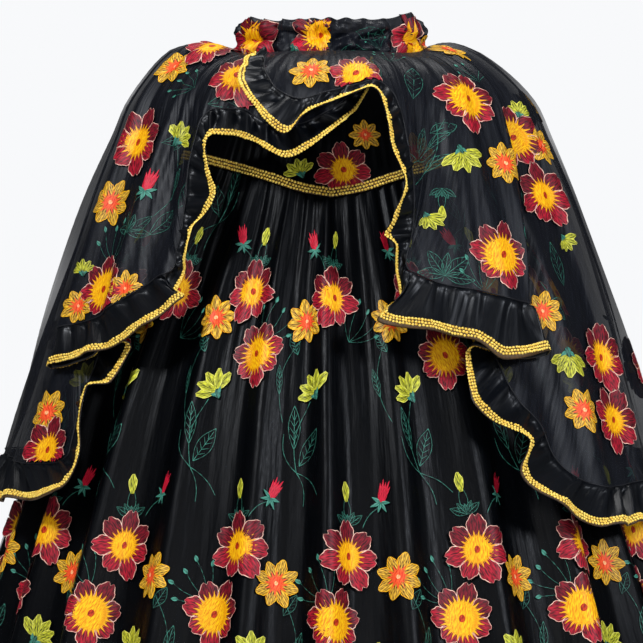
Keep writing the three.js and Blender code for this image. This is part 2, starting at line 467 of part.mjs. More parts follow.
function overskirtHalf(side, hand, folds) {
  const stations = stationsOf(folds, 1);
  const panel = panelGrid(hand, stations);
  const panelNormals = normalsOf(panel, hand, false);
  trimToSeam(panel, panelNormals, -1, "x", hand);
  add(`overskirt_${side}`, cloth(panel, panelNormals, hand), "organza");

  const columns = stationsOf(folds, RUFFLE_COLUMNS_A_STATION);
  const { grid, normals } = ruffleGrid(hand, panel.at(-1), panelNormals.at(-1), columns);
  add(`ruffle_${side}`, cloth(grid, normals, hand), "satin");

  const edgeRows = [RUFFLE_DEPTHS.length - 2, RUFFLE_DEPTHS.length - 1];
  const face = (height) => edgeRows.map((j) => grid[j].map((point, i) => lift(point, normals[j][i], height)));
  add(`braid_${side}`, wallBetween(face(BRAID_LIFT + BRAID_THICKNESS), face(BRAID_LIFT), hand, false), "braid");
}

waistband();
yoke("yoke_front", -1);
yoke("yoke_back", 1);
gatheredSkirt("skirt_front", -1);
gatheredSkirt("skirt_back", 1);
yokeBraid();
overskirtHalf("right", 1, RIGHT_FOLDS);
overskirtHalf("left", -1, LEFT_FOLDS);

export default skirt;
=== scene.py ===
"""The looks of an umbanda skirt: a ruched waistband, a hip yoke and a gathered skirt of embroidered black
organza over black satin, and a sheer cut-away overskirt whose two halves end in satin ruffles edged with gold
braid. Forms are worked out in millimetres, +Z up and the front towards -Y, and built in metres."""

import math

import bpy
import numpy as np
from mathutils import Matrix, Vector


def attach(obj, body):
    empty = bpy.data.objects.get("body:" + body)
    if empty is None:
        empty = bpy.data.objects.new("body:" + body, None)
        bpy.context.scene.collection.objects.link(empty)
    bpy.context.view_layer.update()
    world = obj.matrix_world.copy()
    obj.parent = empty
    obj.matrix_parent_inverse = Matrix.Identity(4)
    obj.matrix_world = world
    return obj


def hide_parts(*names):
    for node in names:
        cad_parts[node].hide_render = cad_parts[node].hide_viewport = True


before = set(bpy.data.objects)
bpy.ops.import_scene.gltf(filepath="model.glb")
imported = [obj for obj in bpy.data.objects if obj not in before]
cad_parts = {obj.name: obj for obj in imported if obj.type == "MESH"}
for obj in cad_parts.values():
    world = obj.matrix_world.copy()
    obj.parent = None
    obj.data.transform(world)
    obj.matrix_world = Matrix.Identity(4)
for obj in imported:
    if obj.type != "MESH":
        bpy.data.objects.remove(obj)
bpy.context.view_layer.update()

MM = 0.001
FULL_TURN, HALF_TURN = 360, 180


def table(columns, *rows):
    """A table with one named column for each word, read by read()."""
    return {name: np.array([row[k] for row in rows], float) for k, name in enumerate(columns.split())}


# --- Sizes of the garment, in millimetres and degrees -------------------------------------------------
# The forms are the solids' own, and the finer folds are the cloth's. A drop is measured down from the waist.
# Wide and deep are half the width and half the depth at a place, and out is how far it stands out from them.
WAIST_WIDE, WAIST_DEEP = 116, 82
BAND_PROFILE = table(
    "row z out ruching",
    (0, 18, 4, 4),
    (1, 7, 9, 4),
    (2, -6, 4, 2),
    (3, -19, 12, 4),
    (4, -33.6, 7, 0.2),
)
# How many tucks and creases go round the waistband, and how deep: the creases and hairlines by a share of the
# tucks, the slanted creases and the frill's flutter in millimetres.
BAND_TUCKS, BAND_CREASES, BAND_HAIRLINES, SLANTED_CREASES, FRILL_FLUTTERS = 24, 33, 72, 17, 31
CREASE_SHARE, HAIRLINE_SHARE = 0.8, 0.14
SLANT_DEPTH, FLUTTER_DEPTH = 3.0, 1.1
# Where the frill stands higher: the azimuth, how much higher and how far to each side.
FRILL_PEAKS = ((-62, 7, 14), (58, 12, 16), (140, 5, 24), (-150, 4, 26))

WAIST_SEAM_DROP = 34
SKIRT_LENGTH = 960
SKIRT_FORM = table(
    "drop wide deep",
    (WAIST_SEAM_DROP, 124, 88),
    (100, 168, 126),
    (200, 214, 164),
    (340, 292, 228),
    (475, 352, 282),
    (640, 408, 336),
    (800, 456, 386),
    (SKIRT_LENGTH, 500, 430),
)
YOKE_SEAM = table(
    "az drop",
    (0, 210),
    (9, 204),
    (22, 189),
    (38, 174),
    (60, 160),
    (90, 152),
    (HALF_TURN, 150),
)
# The yoke and the skirt stop just short of each other at their seam.
SEAM_GAP = 0.4
# The gathers sewn into the yoke's seam draw its edge in and out between these two drops.
SEAM_PULLS, SEAM_PULL_DEPTH = 96, 0.7
SEAM_PULL_STARTS, SEAM_PULL_FULL_AT = 90, 200

# How far each layer lies out from the form they share, and how thick the cloths are.
YOKE_SATIN_OUT, YOKE_ORGANZA_OUT = -1.0, 0.6
SKIRT_SATIN_OUT, SKIRT_ORGANZA_OUT = -1.4, 0.4
YOKE_BRAID_OUT, BRAID_LIFT = 2.8, 0.4
BAND_THICK, SATIN_THICK, RUFFLE_THICK, BRAID_THICK = 1.2, 0.6, 0.5, 0.9
YOKE_BRAID_WIDTH = 12
SIDE_SEAM_RADIUS, RUFFLE_SEAM_RADIUS = 0.7, 1.0

# How unevenly folds lie round the wearer: waves as their height, how many there are and their phase.
PLEATS = 24
PLEAT_WANDER = ((0.9, 2, 0.5), (0.6, 5, 0))
PLEAT_UNEVEN = ((0.18, 9, 2),)
GATHER_WANDER = ((0.7, 3, 0.4), (0.5, 7, 1.1))
GATHER_UNEVEN = ((0.3, 13, 0.7),)
FOLD_WANDER = ((1.0, 3, 1.0), (0.6, 8, 0))
BROAD_FOLDS, OFFBEAT_FOLDS, FINE_FOLDS = 22, 51, 74
FOLDS_FULL_AT = 30
PLEAT_DEPTH = table("below depth", (0, 0), (70, 5), (300, 11), (520, 17), (810, 25))
# Finer gathers that run out of the yoke seam and die out down the skirt.
GATHER_DEPTH = table(
    "below half quarter",
    (0, 0.9, 1.4),
    (40, 2.2, 1.7),
    (160, 2.2, 0.5),
    (380, 1.0, 0),
    (810, 0.4, 0),
)

# The overskirt as it hangs, by the distance along its threads from the waist. rise is how much higher it
# stands at the sides, over the gathers below it.
DRAPE = table(
    "along wide deep z rise",
    (0, 125.6, 90.6, -34.8, 0),
    (18, 148, 112, -34, 22),
    (38, 168, 127, -35, 28),
    (60, 190, 144, -40, 27),
    (84, 212, 161, -48, 20),
    (120, 238, 182, -63, 9),
    (160, 262, 199, -88, 2),
    (205, 279, 213, -127, 0),
    (300, 315, 243, -216, 0),
    (440, 359, 281, -349, 0),
    (580, 397, 319, -481, 0),
    (700, 432, 355, -594, 0),
    (800, 466, 386, -688, 0),
)
# The overskirt's soft folds hang from its gathers at the waist, one set inside the other.
HANGING_FOLDS = table(
    "along broad fine",
    (0, 0, 0.3),
    (20, 0.3, 1.6),
    (60, 1.2, 1.9),
    (140, 2.6, 1.6),
    (300, 4.2, 1.1),
    (700, 5.0, 0.6),
)
# DRAPE's rise grows from nothing at the first azimuth to the whole of it at the second, and each half is
# puffed out sideways by a share of it.
RISE_FRONT, RISE_SIDE = 30, 75
PUFF_RIGHT, PUFF_LEFT = -0.4, 0.5
# How threads run from the waist to the ruffle's seam: how late they turn aside, and how soon they stand out.
THREAD_BEND, OUT_BEND = 1.5, 0.35
# How many of a fold table's steps one flute of the panel and one ripple of the ruffle take.
STATIONS_A_FLUTE = 5
STATIONS_A_RIPPLE = 4 / 3
RUFFLE_GAP = 1.2
# The braid takes the ruffle's last fifth.
BRAID_STARTS = 0.8
CENTRE_BACK_GAP = 0.3
# How far the right half lies over the left one: at the waist, at its fullest, how far down that is, and the
# azimuth at which it ends.
CROSSING_AT_WAIST, CROSSING_LIFT, CROSSING_FULL_AT, CROSSING_ENDS_AT = 2.2, 6, 35, 60
# The ruffle's pinches and the finer tucks at its seam: their depth and spacing, then how far they wander and
# over what length.
PINCH_DEPTH, PINCH_SPACING, PINCH_WANDER, PINCH_WANDER_OVER = 5.6, 9.5, 1.5, 53
TUCK_DEPTH, TUCK_SPACING, TUCK_WANDER, TUCK_WANDER_OVER = 3.0, 2.7, 2, 23
PINCH_SHARPNESS = 0.6

# The overskirt's halves, fold by fold, from the centre front round to the centre back: the thread line's
# azimuth at the waist, then where the organza ends at the ruffle's seam, and the ruffle's free edge.
FOLD_COLUMNS = "steps waist seam_az seam_along seam_out flute edge_az edge_along edge_out ripple"
RIGHT_FOLDS = table(
    FOLD_COLUMNS,
    (1, -28, -27, 42, 3, 0, -30, 58, 6, 0),
    (1, -24.5, -23.5, 72, 8, 0, -28.5, 80, 14, 0),
    (1, -21, -20.5, 102, 12, 0, -26, 103, 21, 0),
    (1, -17, -17, 137, 16, 0, -24.5, 136, 28, 0),
    (1, -13, -12.5, 165, 17, 0, -18, 184, 32, 0),
    (1, -8, -7.5, 175, 17, 0, -10.5, 224, 32, 1),
    (1, -2, -1.5, 166, 16, 0, -5, 193, 29, 1),
    (1, 3, 4.5, 156, 15, 0, 2, 177, 29, 1),
    (1, 7, 11, 146, 16, 0, 8.7, 160, 34, 1),
    (1, 11, 15.5, 168, 16, 0, 11.5, 185, 38, 1),
    (1, 15, 17.2, 218, 15, 0, 12, 232, 38, 1),
    (1, 20, 17.5, 277, 14, 0, 14.2, 287, 37, 1),
    (1, 26, 17, 323, 11, 0, 11.5, 332, 34, 1),
    (1, 30, 16.2, 353, 8, 0, 10, 355, 28, 1),
    (1, 33, 15.2, 374, 6, 0, 12, 370, 18, 0),
    (1, 34.5, 14.8, 384, 5, 0, 12.2, 384, 8, 0),
    (1, 35.5, 14.6, 391, 5, 0, 12.8, 402, -4, 0),
    (1, 36.5, 14.8, 398, 6, 0, 13.8, 434, -8, 0),
    (1, 37.5, 16.6, 405, 9, 0, 8, 464, 18, 0),
    (1, 40, 21.6, 417, 13, 0, 17.7, 478, 24, 3),
    (1, 43, 29, 425, 10, 0, 25, 487, 20, 3),
    (1, 46.5, 36, 436, 16, 0, 31, 513, 26, 1),
    (1, 50, 40.5, 441, 18, 0, 41.5, 502, 28, 0),
    (1, 52, 41, 447, 12, 0, 42, 508, 19, 0),
    (1, 55, 38, 459, 5, 0, 36, 512, 11, 0),
    (1, 58, 31.5, 470, -1, 0, 27, 494, 3, 0),
    (1, 60, 31, 480, -8, 0, 26, 503, -5, 0),
    (1, 63, 33, 524, -8, 0, 25, 561, 8, 0),
    (1, 66, 34.6, 565, 0, 0, 28.4, 595, 18, 2),
    (1, 69, 38.7, 600, 6, 0, 33.4, 615, 24, 2),
    (1, 72, 40, 632, 7, 0, 30.6, 652, 20, 2),
    (1, 76, 44.8, 668, 10, 0, 36.4, 697, 24, 3),
    (2, 81, 52, 680, 8, 0, 45.8, 727, 24, 4),
    (3, 88, 62, 676, 12, 2, 56, 726, 26, 5),
    (4, 100, 79, 654, 10, 8, 78, 708, 24, 6),
    (5, 114, 104, 645, 10, 10, 104, 702, 24, 6),
    (5, 137, 131, 648, 10, 10, 131, 705, 24, 6),
    (5, 159, 156, 652, 10, 10, 156, 709, 24, 6),
    (1, 180, 180, 655, 10, 0, 180, 712, 22, 0),
)
LEFT_FOLDS = table(
    FOLD_COLUMNS,
    (1, -14, -14, 50, 1, 0, -15, 60, 2, 0),
    (1, -11, -11, 110, 3, 0, -12, 124, 4, 0),
    (1, -7, -5, 164, 4, 0, -7, 181, 6, 0),
    (1, -2, 3.5, 196, 4, 0, -2, 206, 8, 0),
    (1, 3, 8, 206, 4, 0, 4, 234, 10, 0),
    (1, 9, 13, 210, 4, 0, 10.5, 252, 12, 0),
    (1, 14, 18, 200, 4, 0, 17, 234, 12, 0),
    (1, 20, 24, 184, 6, 0, 22.5, 223, 14, 1),
    (1, 28, 31, 183, 10, 0, 29, 219, 20, 1),
    (1, 36, 33.9, 205, 12, 0, 29.2, 235, 25, 1),
    (1, 41, 34, 253, 11, 0, 26.8, 271, 29, 1),
    (1, 44.5, 33.2, 300, 9, 0, 24.5, 303, 31, 1),
    (1, 46.5, 33, 326, 8, 0, 26.8, 327, 27, 1),
    (1, 48, 32.7, 352, 8, 0, 29, 350, 22, 1),
    (1, 49.5, 33.2, 374, 6, 0, 29.6, 372, 16, 0),
    (1, 50.5, 33, 386, 5, 0, 30.8, 386, 6, 0),
    (1, 51.3, 33.2, 394, 5, 0, 32, 404, -5, 0),
    (1, 52, 34, 400, 6, 0, 33.3, 428, -8, 0),
    (1, 53, 36.3, 405, 9, 0, 28.5, 432, 18, 0),
    (1, 55.5, 43.5, 432, 13, 0, 35, 468, 24, 3),
    (1, 58.5, 50.7, 456, 10, 0, 43.7, 497, 20, 3),
    (1, 61, 56.8, 466, 15, 0, 51, 511, 26, 1),
    (1, 63.5, 62, 472, 18, 0, 59.5, 521, 28, 0),
    (1, 65.5, 62.5, 477, 12, 0, 60, 526, 19, 0),
    (1, 67.5, 58.5, 472, 6, 0, 53, 514, 9, 0),
    (1, 70, 52, 467, -1, 0, 43, 489, 3, 0),
    (1, 72, 51, 472, -9, 0, 42, 498, -5, 0),
    (1, 76, 53, 516, -9, 0, 44.5, 545, 4, 0),
    (1, 80, 53, 557, -1, 0, 47, 547, 16, 1),
    (1, 84, 51.5, 606, 5, 0, 45.5, 604, 22, 1),
    (1, 87, 51, 636, 7, 0, 44.2, 642, 24, 1),
    (1, 91, 55, 650, 8, 0, 46.5, 680, 24, 3),
    (2, 96, 64, 652, 12, 0, 55, 696, 26, 4),
    (3, 103, 76, 650, 10, 3, 70, 702, 24, 6),
    (4, 113, 94, 644, 10, 10, 92, 701, 24, 6),
    (5, 129, 117, 646, 10, 10, 117, 703, 24, 6),
    (5, 151, 148, 650, 10, 10, 148, 707, 24, 6),
    (1, 180, 180, 655, 10, 0, 180, 712, 22, 0),
)


# --- Reading the tables -------------------------------------------------------------------------------
def read(rows, key, name, at):
    """One column of a table as a smooth curve through its rows that never overshoots."""
    x, y = rows[key], rows[name]
    at = np.asarray(at, float)
    k = np.clip(np.searchsorted(x, at, side="left") - 1, 0, len(x) - 2)
    steep = np.diff(y) / np.diff(x)
    pairs, sums = steep[:-1] * steep[1:], steep[:-1] + steep[1:]
    inner = np.where(pairs > 0, 2 * pairs / np.where(pairs > 0, sums, 1), 0)
    slopes = np.concatenate([steep[:1], inner, steep[-1:]])
    span = x[k + 1] - x[k]
    t = np.clip((at - x[k]) / span, 0, 1)
    ease = t * t * (3 - 2 * t)
    bend = t * (1 - t) ** 2 * slopes[k] - t * t * (1 - t) * slopes[k + 1]
    return y[k] + (y[k + 1] - y[k]) * ease + span * bend


def smooth_between(value, low, high):
    t = np.clip((np.asarray(value, float) - low) / (high - low), 0, 1)
    return t * t * (3 - 2 * t)


def mix(a, b, share):
    return a + (b - a) * share


def waves(turn, parts):
    """A sum of waves, each with its height, how many go round the wearer and its phase."""
    return sum(height * np.sin(count * turn + phase) for height, count, phase in parts)


def around(az, wide, deep, z):
    """Points at azimuths on ellipses round the wearer."""
    turn = np.radians(az)
    return np.stack(np.broadcast_arrays(wide * np.sin(turn), -deep * np.cos(turn), z), -1)


# --- Cloth as grids: rows run down the cloth, columns round it ----------------------------------------
# The share of a cloth's rows, from its top, that gathers draw in.
GATHERED_TOP = 0.4


def normals_of(points, hand=1, ring=False):
    if ring:
        padded = np.concatenate([points[:, -1:], points, points[:, :1]], 1)
        across = (padded[:, 2:] - padded[:, :-2]) / 2
    else:
        across = np.gradient(points, axis=1)
    normals = np.cross(np.gradient(points, axis=0), across) * hand
    return normals / np.maximum(np.linalg.norm(normals, axis=-1, keepdims=True), 1e-9)


def cloth(points, hand=1, ring=False):
    """A grid with what laying embroidery on it needs: how far each column lies round the cloth, measured
    below its gathered top, and how far each row lies down it."""
    down = np.linalg.norm(np.diff(points, axis=0), axis=2)
    run = np.concatenate([np.zeros((1, points.shape[1])), np.cumsum(down, axis=0)])
    low = points[int(points.shape[0] * GATHERED_TOP) :]
    steps = np.linalg.norm(np.diff(low, axis=1), axis=2).mean(0)
    return {
        "points": points,
        "normals": normals_of(points, hand, ring),
        "hand": hand,
        "ring": ring,
        "u": np.concatenate([[0], np.cumsum(steps)]),
        "length": run[-1],
        "share": (run / np.maximum(run[-1], 1e-9)).mean(1),
    }


def on_cloth(grid, u, v):
    """Points and normals at distances u round the cloth and v down it."""
    rows, columns = grid["points"].shape[:2]
    across = np.interp(u, grid["u"], np.arange(columns))
    share = np.clip(v / np.interp(across, np.arange(columns), grid["length"]), 0, 1)
    down = np.interp(share, grid["share"], np.arange(rows))
    i = np.minimum(across.astype(int), columns - 2)
    j = np.minimum(down.astype(int), rows - 2)
    fi, fj = (across - i)[..., None], (down - j)[..., None]

    def blend(values):
        top = values[j, i] * (1 - fi) + values[j, i + 1] * fi
        low = values[j + 1, i] * (1 - fi) + values[j + 1, i + 1] * fi
        return top * (1 - fj) + low * fj

    return blend(grid["points"]), blend(grid["normals"])


# --- Meshes -------------------------------------------------------------------------------------------
def mesh_object(name, points, faces, materials, uv=None, which=None):
    """A smooth-shaded mesh in metres from points in millimetres. uv holds a pair in metres for each point."""
    data = bpy.data.meshes.new(name)
    data.from_pydata((np.asarray(points) * MM).tolist(), [], faces)
    for material in materials:
        data.materials.append(material)
    if which is not None:
        data.polygons.foreach_set("material_index", np.asarray(which, np.int32))
    if uv is not None:
        corners = np.empty(len(data.loops), np.int32)
        data.loops.foreach_get("vertex_index", corners)
        layer = data.uv_layers.new(name="cloth")
        layer.data.foreach_set("uv", (np.asarray(uv)[corners] * MM).astype(np.float32).ravel())
    data.shade_smooth()
    piece = bpy.data.objects.new(name, data)
    bpy.context.scene.collection.objects.link(piece)
    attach(piece, "root")
    return piece


def grid_faces(rows, columns, ring=False, hand=1):
    j, i = np.meshgrid(np.arange(rows - 1), np.arange(columns if ring else columns - 1), indexing="ij")
    following = (i + 1) % columns
    quads = [j * columns + i, (j + 1) * columns + i, (j + 1) * columns + following, j * columns + following]
    return np.stack(quads if hand > 0 else quads[::-1], -1).reshape(-1, 4).tolist()


def cloth_object(name, grid, material, thickness=0.0):
    """A sheet of cloth. With a thickness, Solidify gives it one, inwards from the grid."""
    points = grid["points"]
    rows, columns = points.shape[:2]
    down = grid["share"][:, None] * grid["length"].mean()
    uv = np.stack(np.broadcast_arrays(grid["u"][None, :], down), -1)
    faces = grid_faces(rows, columns, grid["ring"], grid["hand"])
    piece = mesh_object(name, points.reshape(-1, 3), faces, [material], uv.reshape(-1, 2))
    if thickness:
        shell = piece.modifiers.new("cloth", "SOLIDIFY")
        shell.thickness = thickness * MM
        shell.offset = -1
    return piece


def cord_object(name, path, radius, material, sides=6):
    """A seam's rolled allowance, as a round cord along a path."""
    along = np.gradient(path, axis=0)
    along /= np.maximum(np.linalg.norm(along, axis=1, keepdims=True), 1e-9)
    level = np.cross(along, [0, 0, 1.0])
    level /= np.maximum(np.linalg.norm(level, axis=1, keepdims=True), 1e-9)
    upright = np.cross(level, along)
    turn = 2 * np.pi * np.arange(sides)[None, :, None] / sides
    around_it = level[:, None] * np.cos(turn) + upright[:, None] * np.sin(turn)
    points = path[:, None] + around_it * radius
    faces = grid_faces(len(path), sides, ring=True)
    return mesh_object(name, points.reshape(-1, 3), faces, [material])


# --- Materials ----------------------------------------------------------------------------------------
def linear(colour):
    """An sRGB hex colour as linear red, green, blue and alpha."""
    parts = [int(colour[k : k + 2], 16) / 255 for k in (1, 3, 5)]
    return [*(p / 12.92 if p <= 0.04045 else ((p + 0.055) / 1.055) ** 2.4 for p in parts), 1.0]


def add_node(tree, kind, inputs=None, **settings):
    """Adds one node. Each input is a value, or the socket that feeds it."""
    made = tree.nodes.new("ShaderNode" + kind)
    for name, value in settings.items():
        setattr(made, name, value)
    for socket, value in (inputs or {}).items():
        if isinstance(value, bpy.types.NodeSocket):
            tree.links.new(value, made.inputs[socket])
        else:
            made.inputs[socket].default_value = value
    return made


def new_material(name, **uniform):
    """A material and its Principled shader, with what is the same all over set on the shader's sockets."""
    material = bpy.data.materials.new(name)
    material.use_nodes = True
    shader = material.node_tree.nodes["Principled BSDF"]
    for socket, value in uniform.items():
        shader.inputs[socket.replace("_", " ")].default_value = value
    return material, material.node_tree, shader


def cloth_place(tree, across_mm, down_mm):
    """Places on the cloth, scaled so that one unit is a feature of that size round the cloth and down it."""
    uv = add_node(tree, "UVMap", uv_map="cloth").outputs["UV"]
    scale = (1 / (across_mm * MM), 1 / (down_mm * MM), 1)
    return add_node(tree, "Mapping", {"Vector": uv, "Scale": scale}).outputs["Vector"]


def feed(node, sources):
    """Links what feeds each of a node's sockets."""
    for socket, source in sources.items():
        node.id_data.links.new(source, node.inputs[socket])


# Satin's creases are about this long, in millimetres.
CREASE_LONG = 170


def black_satin(name, deep, lit, crease_mm, lustre):
    """Polyester satin, woven with long floats: near black and softly lustrous, with a painted sheen that runs
    down its creases as a lighter colour.
    """
    material, tree, shader = new_material(name, IOR=1.5, Specular_IOR_Level=lustre)
    place = cloth_place(tree, crease_mm, CREASE_LONG)
    crease_and_sheen = add_node(tree, "TexNoise", {"Vector": place, "Detail": 3.0, "Scale": 1.0}).outputs["Fac"]
    # The weave's floats lie 0.3 mm apart, drawn at 1.6 mm so that they show.
    place = cloth_place(tree, 1.6, 9)
    floats = add_node(tree, "TexNoise", {"Vector": place, "Detail": 1.0, "Scale": 1.0}).outputs["Fac"]
    # Painted sheen: the colour runs from deep to lit where the crease noise stands high.
    colour = add_node(tree, "Mix", {0: crease_and_sheen, 6: linear(deep), 7: linear(lit)}, data_type="RGBA")
    gloss = add_node(tree, "MapRange", {"Value": floats, "To Min": 0.26, "To Max": 0.5}, clamp=False)
    bump = add_node(tree, "Bump", {"Height": crease_and_sheen, "Strength": 0.7, "Distance": 4 * MM})
    feed(shader, {"Base Color": colour.outputs[2], "Roughness": gloss.outputs["Result"]})
    feed(shader, {"Normal": bump.outputs["Normal"]})
    return material


def sheer_organza(name, lit, lustre, thinnest, fullest):
    """Crisp nylon organza: black threads with as much gap as thread, so what lies behind it shows, dimmed.
    The attribute fullness says how much cloth lies together: 0 is a single clear layer, which covers by the
    share thinnest, 1 is the cloth as it hangs in front, and more is cloth that is gathered closer."""
    material, tree, shader = new_material(name, IOR=1.45, Specular_IOR_Level=lustre)
    # Threads 0.25 mm apart, drawn as slubs 2 mm wide so that they show.
    place = cloth_place(tree, 2.0, 26)
    slubs = add_node(tree, "TexNoise", {"Vector": place, "Detail": 2.0, "Scale": 1.0}).outputs["Fac"]
    # Soft creases lie about 16 mm apart.
    place = cloth_place(tree, 16, 150)
    creases = add_node(tree, "TexNoise", {"Vector": place, "Detail": 2.0, "Scale": 1.0}).outputs["Fac"]
    colour = add_node(tree, "Mix", {0: slubs, 6: linear("#010103"), 7: linear(lit)}, data_type="RGBA")
    gloss = add_node(tree, "MapRange", {"Value": slubs, "To Min": 0.34, "To Max": 0.56}, clamp=False)
    fullness = add_node(tree, "Attribute", attribute_name="fullness").outputs["Fac"]
    layers = {"Value": fullness, "To Min": thinnest, "To Max": fullest}
    cover = add_node(tree, "MapRange", layers, clamp=False).outputs["Result"]
    uneven = add_node(tree, "MapRange", {"Value": slubs, "To Min": 0.93, "To Max": 1.07}, clamp=False)
    between = {0: cover, 1: uneven.outputs["Result"]}
    alpha = add_node(tree, "Math", between, operation="MULTIPLY", use_clamp=True)
    bump = add_node(tree, "Bump", {"Height": creases, "Strength": 0.7, "Distance": 4 * MM})
    feed(shader, {"Base Color": colour.outputs[2], "Roughness": gloss.outputs["Result"]})
    feed(shader, {"Alpha": alpha.outputs["Value"], "Normal": bump.outputs["Normal"]})
    return material


def embroidery_thread(name, dark, light):
    """Rayon embroidery thread in satin stitch: a silky sheen, with stitches that catch the light in turn.
    Stitches are 0.4 mm wide and about 8 mm long, drawn 1.5 mm wide so that they show."""
    material, tree, shader = new_material(name, IOR=1.5, Roughness=0.5, Specular_IOR_Level=0.22)
    place = cloth_place(tree, 1.5, 8)
    stitches = add_node(tree, "TexNoise", {"Vector": place, "Detail": 1.0, "Scale": 1.0}).outputs["Fac"]
    strong = add_node(tree, "MapRange", {"Value": stitches, "From Min": 0.36, "From Max": 0.64})
    between = {0: strong.outputs["Result"], 6: linear(dark), 7: linear(light)}
    colour = add_node(tree, "Mix", between, data_type="RGBA")
    bump = add_node(tree, "Bump", {"Height": stitches, "Strength": 0.4, "Distance": 0.5 * MM})
    feed(shader, {"Base Color": colour.outputs[2], "Normal": bump.outputs["Normal"]})
    return material


# The sizes of the braid's two patterns, in millimetres.
BEAD_TONES_AND_GLINTS, YARN_TURN = 2.381, 0.625


def metallic_braid(name, dark, light, roughness):
    """Gimp braid wound with gold metallic yarn: bright beads of yarn with dark gaps between them, where the
    ground's dark colour is painted shade. The yarn's turns lie 0.6 mm apart, and its tone changes at random
    every
    2.4 mm or so, from bead to bead, up to the light colour, which on the beads is a painted highlight."""
    material, tree, shader = new_material(name, IOR=1.5, Metallic=0.15, Roughness=roughness)
    place = add_node(tree, "TexCoord").outputs["Object"]
    per_bead = {"Vector": place, "Scale": 1 / (BEAD_TONES_AND_GLINTS * MM), "Detail": 1.0}
    patches = add_node(tree, "TexNoise", per_bead).outputs["Fac"]
    per_turn = {"Vector": place, "Scale": 1 / (YARN_TURN * MM), "Detail": 1.0}
    winding = add_node(tree, "TexNoise", per_turn).outputs["Fac"]
    # The tone changes at random from bead to bead and reaches the light colour, which on the beads is a
    # painted highlight.
    tone_and_glint = add_node(tree, "MapRange", {"Value": patches, "To Min": -0.4, "To Max": 1.4}, clamp=False)
    between = {0: tone_and_glint.outputs["Result"], 6: linear(dark), 7: linear(light)}
    colour = add_node(tree, "Mix", between, data_type="RGBA")
    bump = add_node(tree, "Bump", {"Height": winding, "Strength": 0.5, "Distance": 0.4 * MM})
    feed(shader, {"Base Color": colour.outputs[2], "Normal": bump.outputs["Normal"]})
    return material


# Each satin runs from its deep colour to a lighter one, a painted sheen, along its creases.
SATIN = black_satin("black_polyester_satin", "#010203", "#04060a", 22, 0.19)
# The ruffles' satin is painted a little lighter, a painted sheen for the light its gathers catch.
RUFFLE_SATIN = black_satin("black_ruffle_satin", "#010204", "#06090f", 20, 0.22)
ORGANZA = sheer_organza("black_nylon_organza", "#171a22", 0.2, 0.36, 0.76)
LINED_ORGANZA = sheer_organza("black_organza_over_satin", "#05070a", 0.04, 0.3, 0.5)
# The gold yarn's light colour is a painted highlight.
GOLD = metallic_braid("gold_metallic_yarn", "#dca316", "#ffe873", 0.4)
# The braid's ground is painted dark brown, as painted shade in the gaps between the beads.
GOLD_GROUND_PAINTED_SHADE = metallic_braid("gold_braid_ground_painted_shade", "#241603", "#5a3d0a", 0.6)
BLACK_THREAD = embroidery_thread("black_sewing_thread", "#08080a", "#1a1b20")
# Each thread in its shade and in the light.
THREAD_COLOURS = {
    "crimson": ("#45060e", "#b5172e"),
    "wine": ("#2c0409", "#821022"),
    "scarlet": ("#9c0b20", "#dc1c3c"),
    "yellow": ("#d67c00", "#fcc60c"),
    "rust": ("#7a1604", "#c83c10"),
    "amber": ("#4a2804", "#f2bc3a"),
    "coral": ("#c82408", "#ff6430"),
    "peach": ("#f08a4a", "#ffc890"),
    "lime": ("#3a3c0a", "#cdcc34"),
    "citron": ("#b8b43c", "#f2ee70"),
    "cream": ("#b0605a", "#f4ccb4"),
    "green": ("#06201a", "#367a68"),
    "mint": ("#164c3e", "#4c9480"),
}
THREADS = {
    name: embroidery_thread(name + "_rayon_thread", *colours) for name, colours in THREAD_COLOURS.items()
}
THREAD_NAMES = list(THREADS)


# --- The garment's forms ------------------------------------------------------------------------------
def folded(az):
    """How far round from the centre front, either way."""
    wrapped = np.abs(az) % FULL_TURN
    return np.minimum(wrapped, FULL_TURN - wrapped)


def yoke_drop(az):
    return read(YOKE_SEAM, "az", "drop", folded(az))


def skirt_point(az, drop, out):
    wide = read(SKIRT_FORM, "drop", "wide", drop) + out
    deep = read(SKIRT_FORM, "drop", "deep", drop) + out
    return around(az, wide, deep, -np.asarray(drop))


def pleat(az):
    """Near 1 on a pleat's crest and near -1 in its valley. Pleats differ in width and depth."""
    turn = np.radians(az)
    crest = np.cos(PLEATS * turn + waves(turn, PLEAT_WANDER))
    sharper = 0.2 * (2 * crest * crest - 1)
    return (crest + sharper) * (0.82 + waves(turn, PLEAT_UNEVEN))


def gathers(az, below):
    """The finer folds between the pleats: the closest ones run out of the seam and merge further down."""
    turn = np.radians(az)
    wander = waves(turn, GATHER_WANDER)
    half = np.cos(2 * PLEATS * turn + 2 * wander + waves(turn, [(0.8, 4, below / 90)]))
    quarter = np.cos(4 * PLEATS * turn + 3 * wander + waves(turn, [(0.6, 11, below / 40)]))
    uneven = 0.7 + waves(turn, GATHER_UNEVEN)
    half_depth, quarter_depth = (read(GATHER_DEPTH, "below", name, below) for name in ("half", "quarter"))
    return half * half_depth * uneven + quarter * quarter_depth * (1.4 - uneven)


def drape_point(hand, az, along, out, lift):
    """A point of one overskirt half. out moves it level from the wearer, lift along the cloth's normal."""
    side = smooth_between(np.abs(az), RISE_FRONT, RISE_SIDE)

    def height(place):
        return read(DRAPE, "along", "z", place) + side * read(DRAPE, "along", "rise", place)

    wide, deep = (read(DRAPE, "along", name, along) for name in ("wide", "deep"))
    run = read(DRAPE, "along", "wide", along + 1) - wide
    drop = height(along + 1) - height(along)
    steep = lift / np.hypot(run, drop)
    level = out - drop * steep
    puff = side * read(DRAPE, "along", "rise", along) * (PUFF_RIGHT if hand > 0 else PUFF_LEFT)
    return around(hand * az, wide + level + puff, deep + level, height(along) + run * steep)


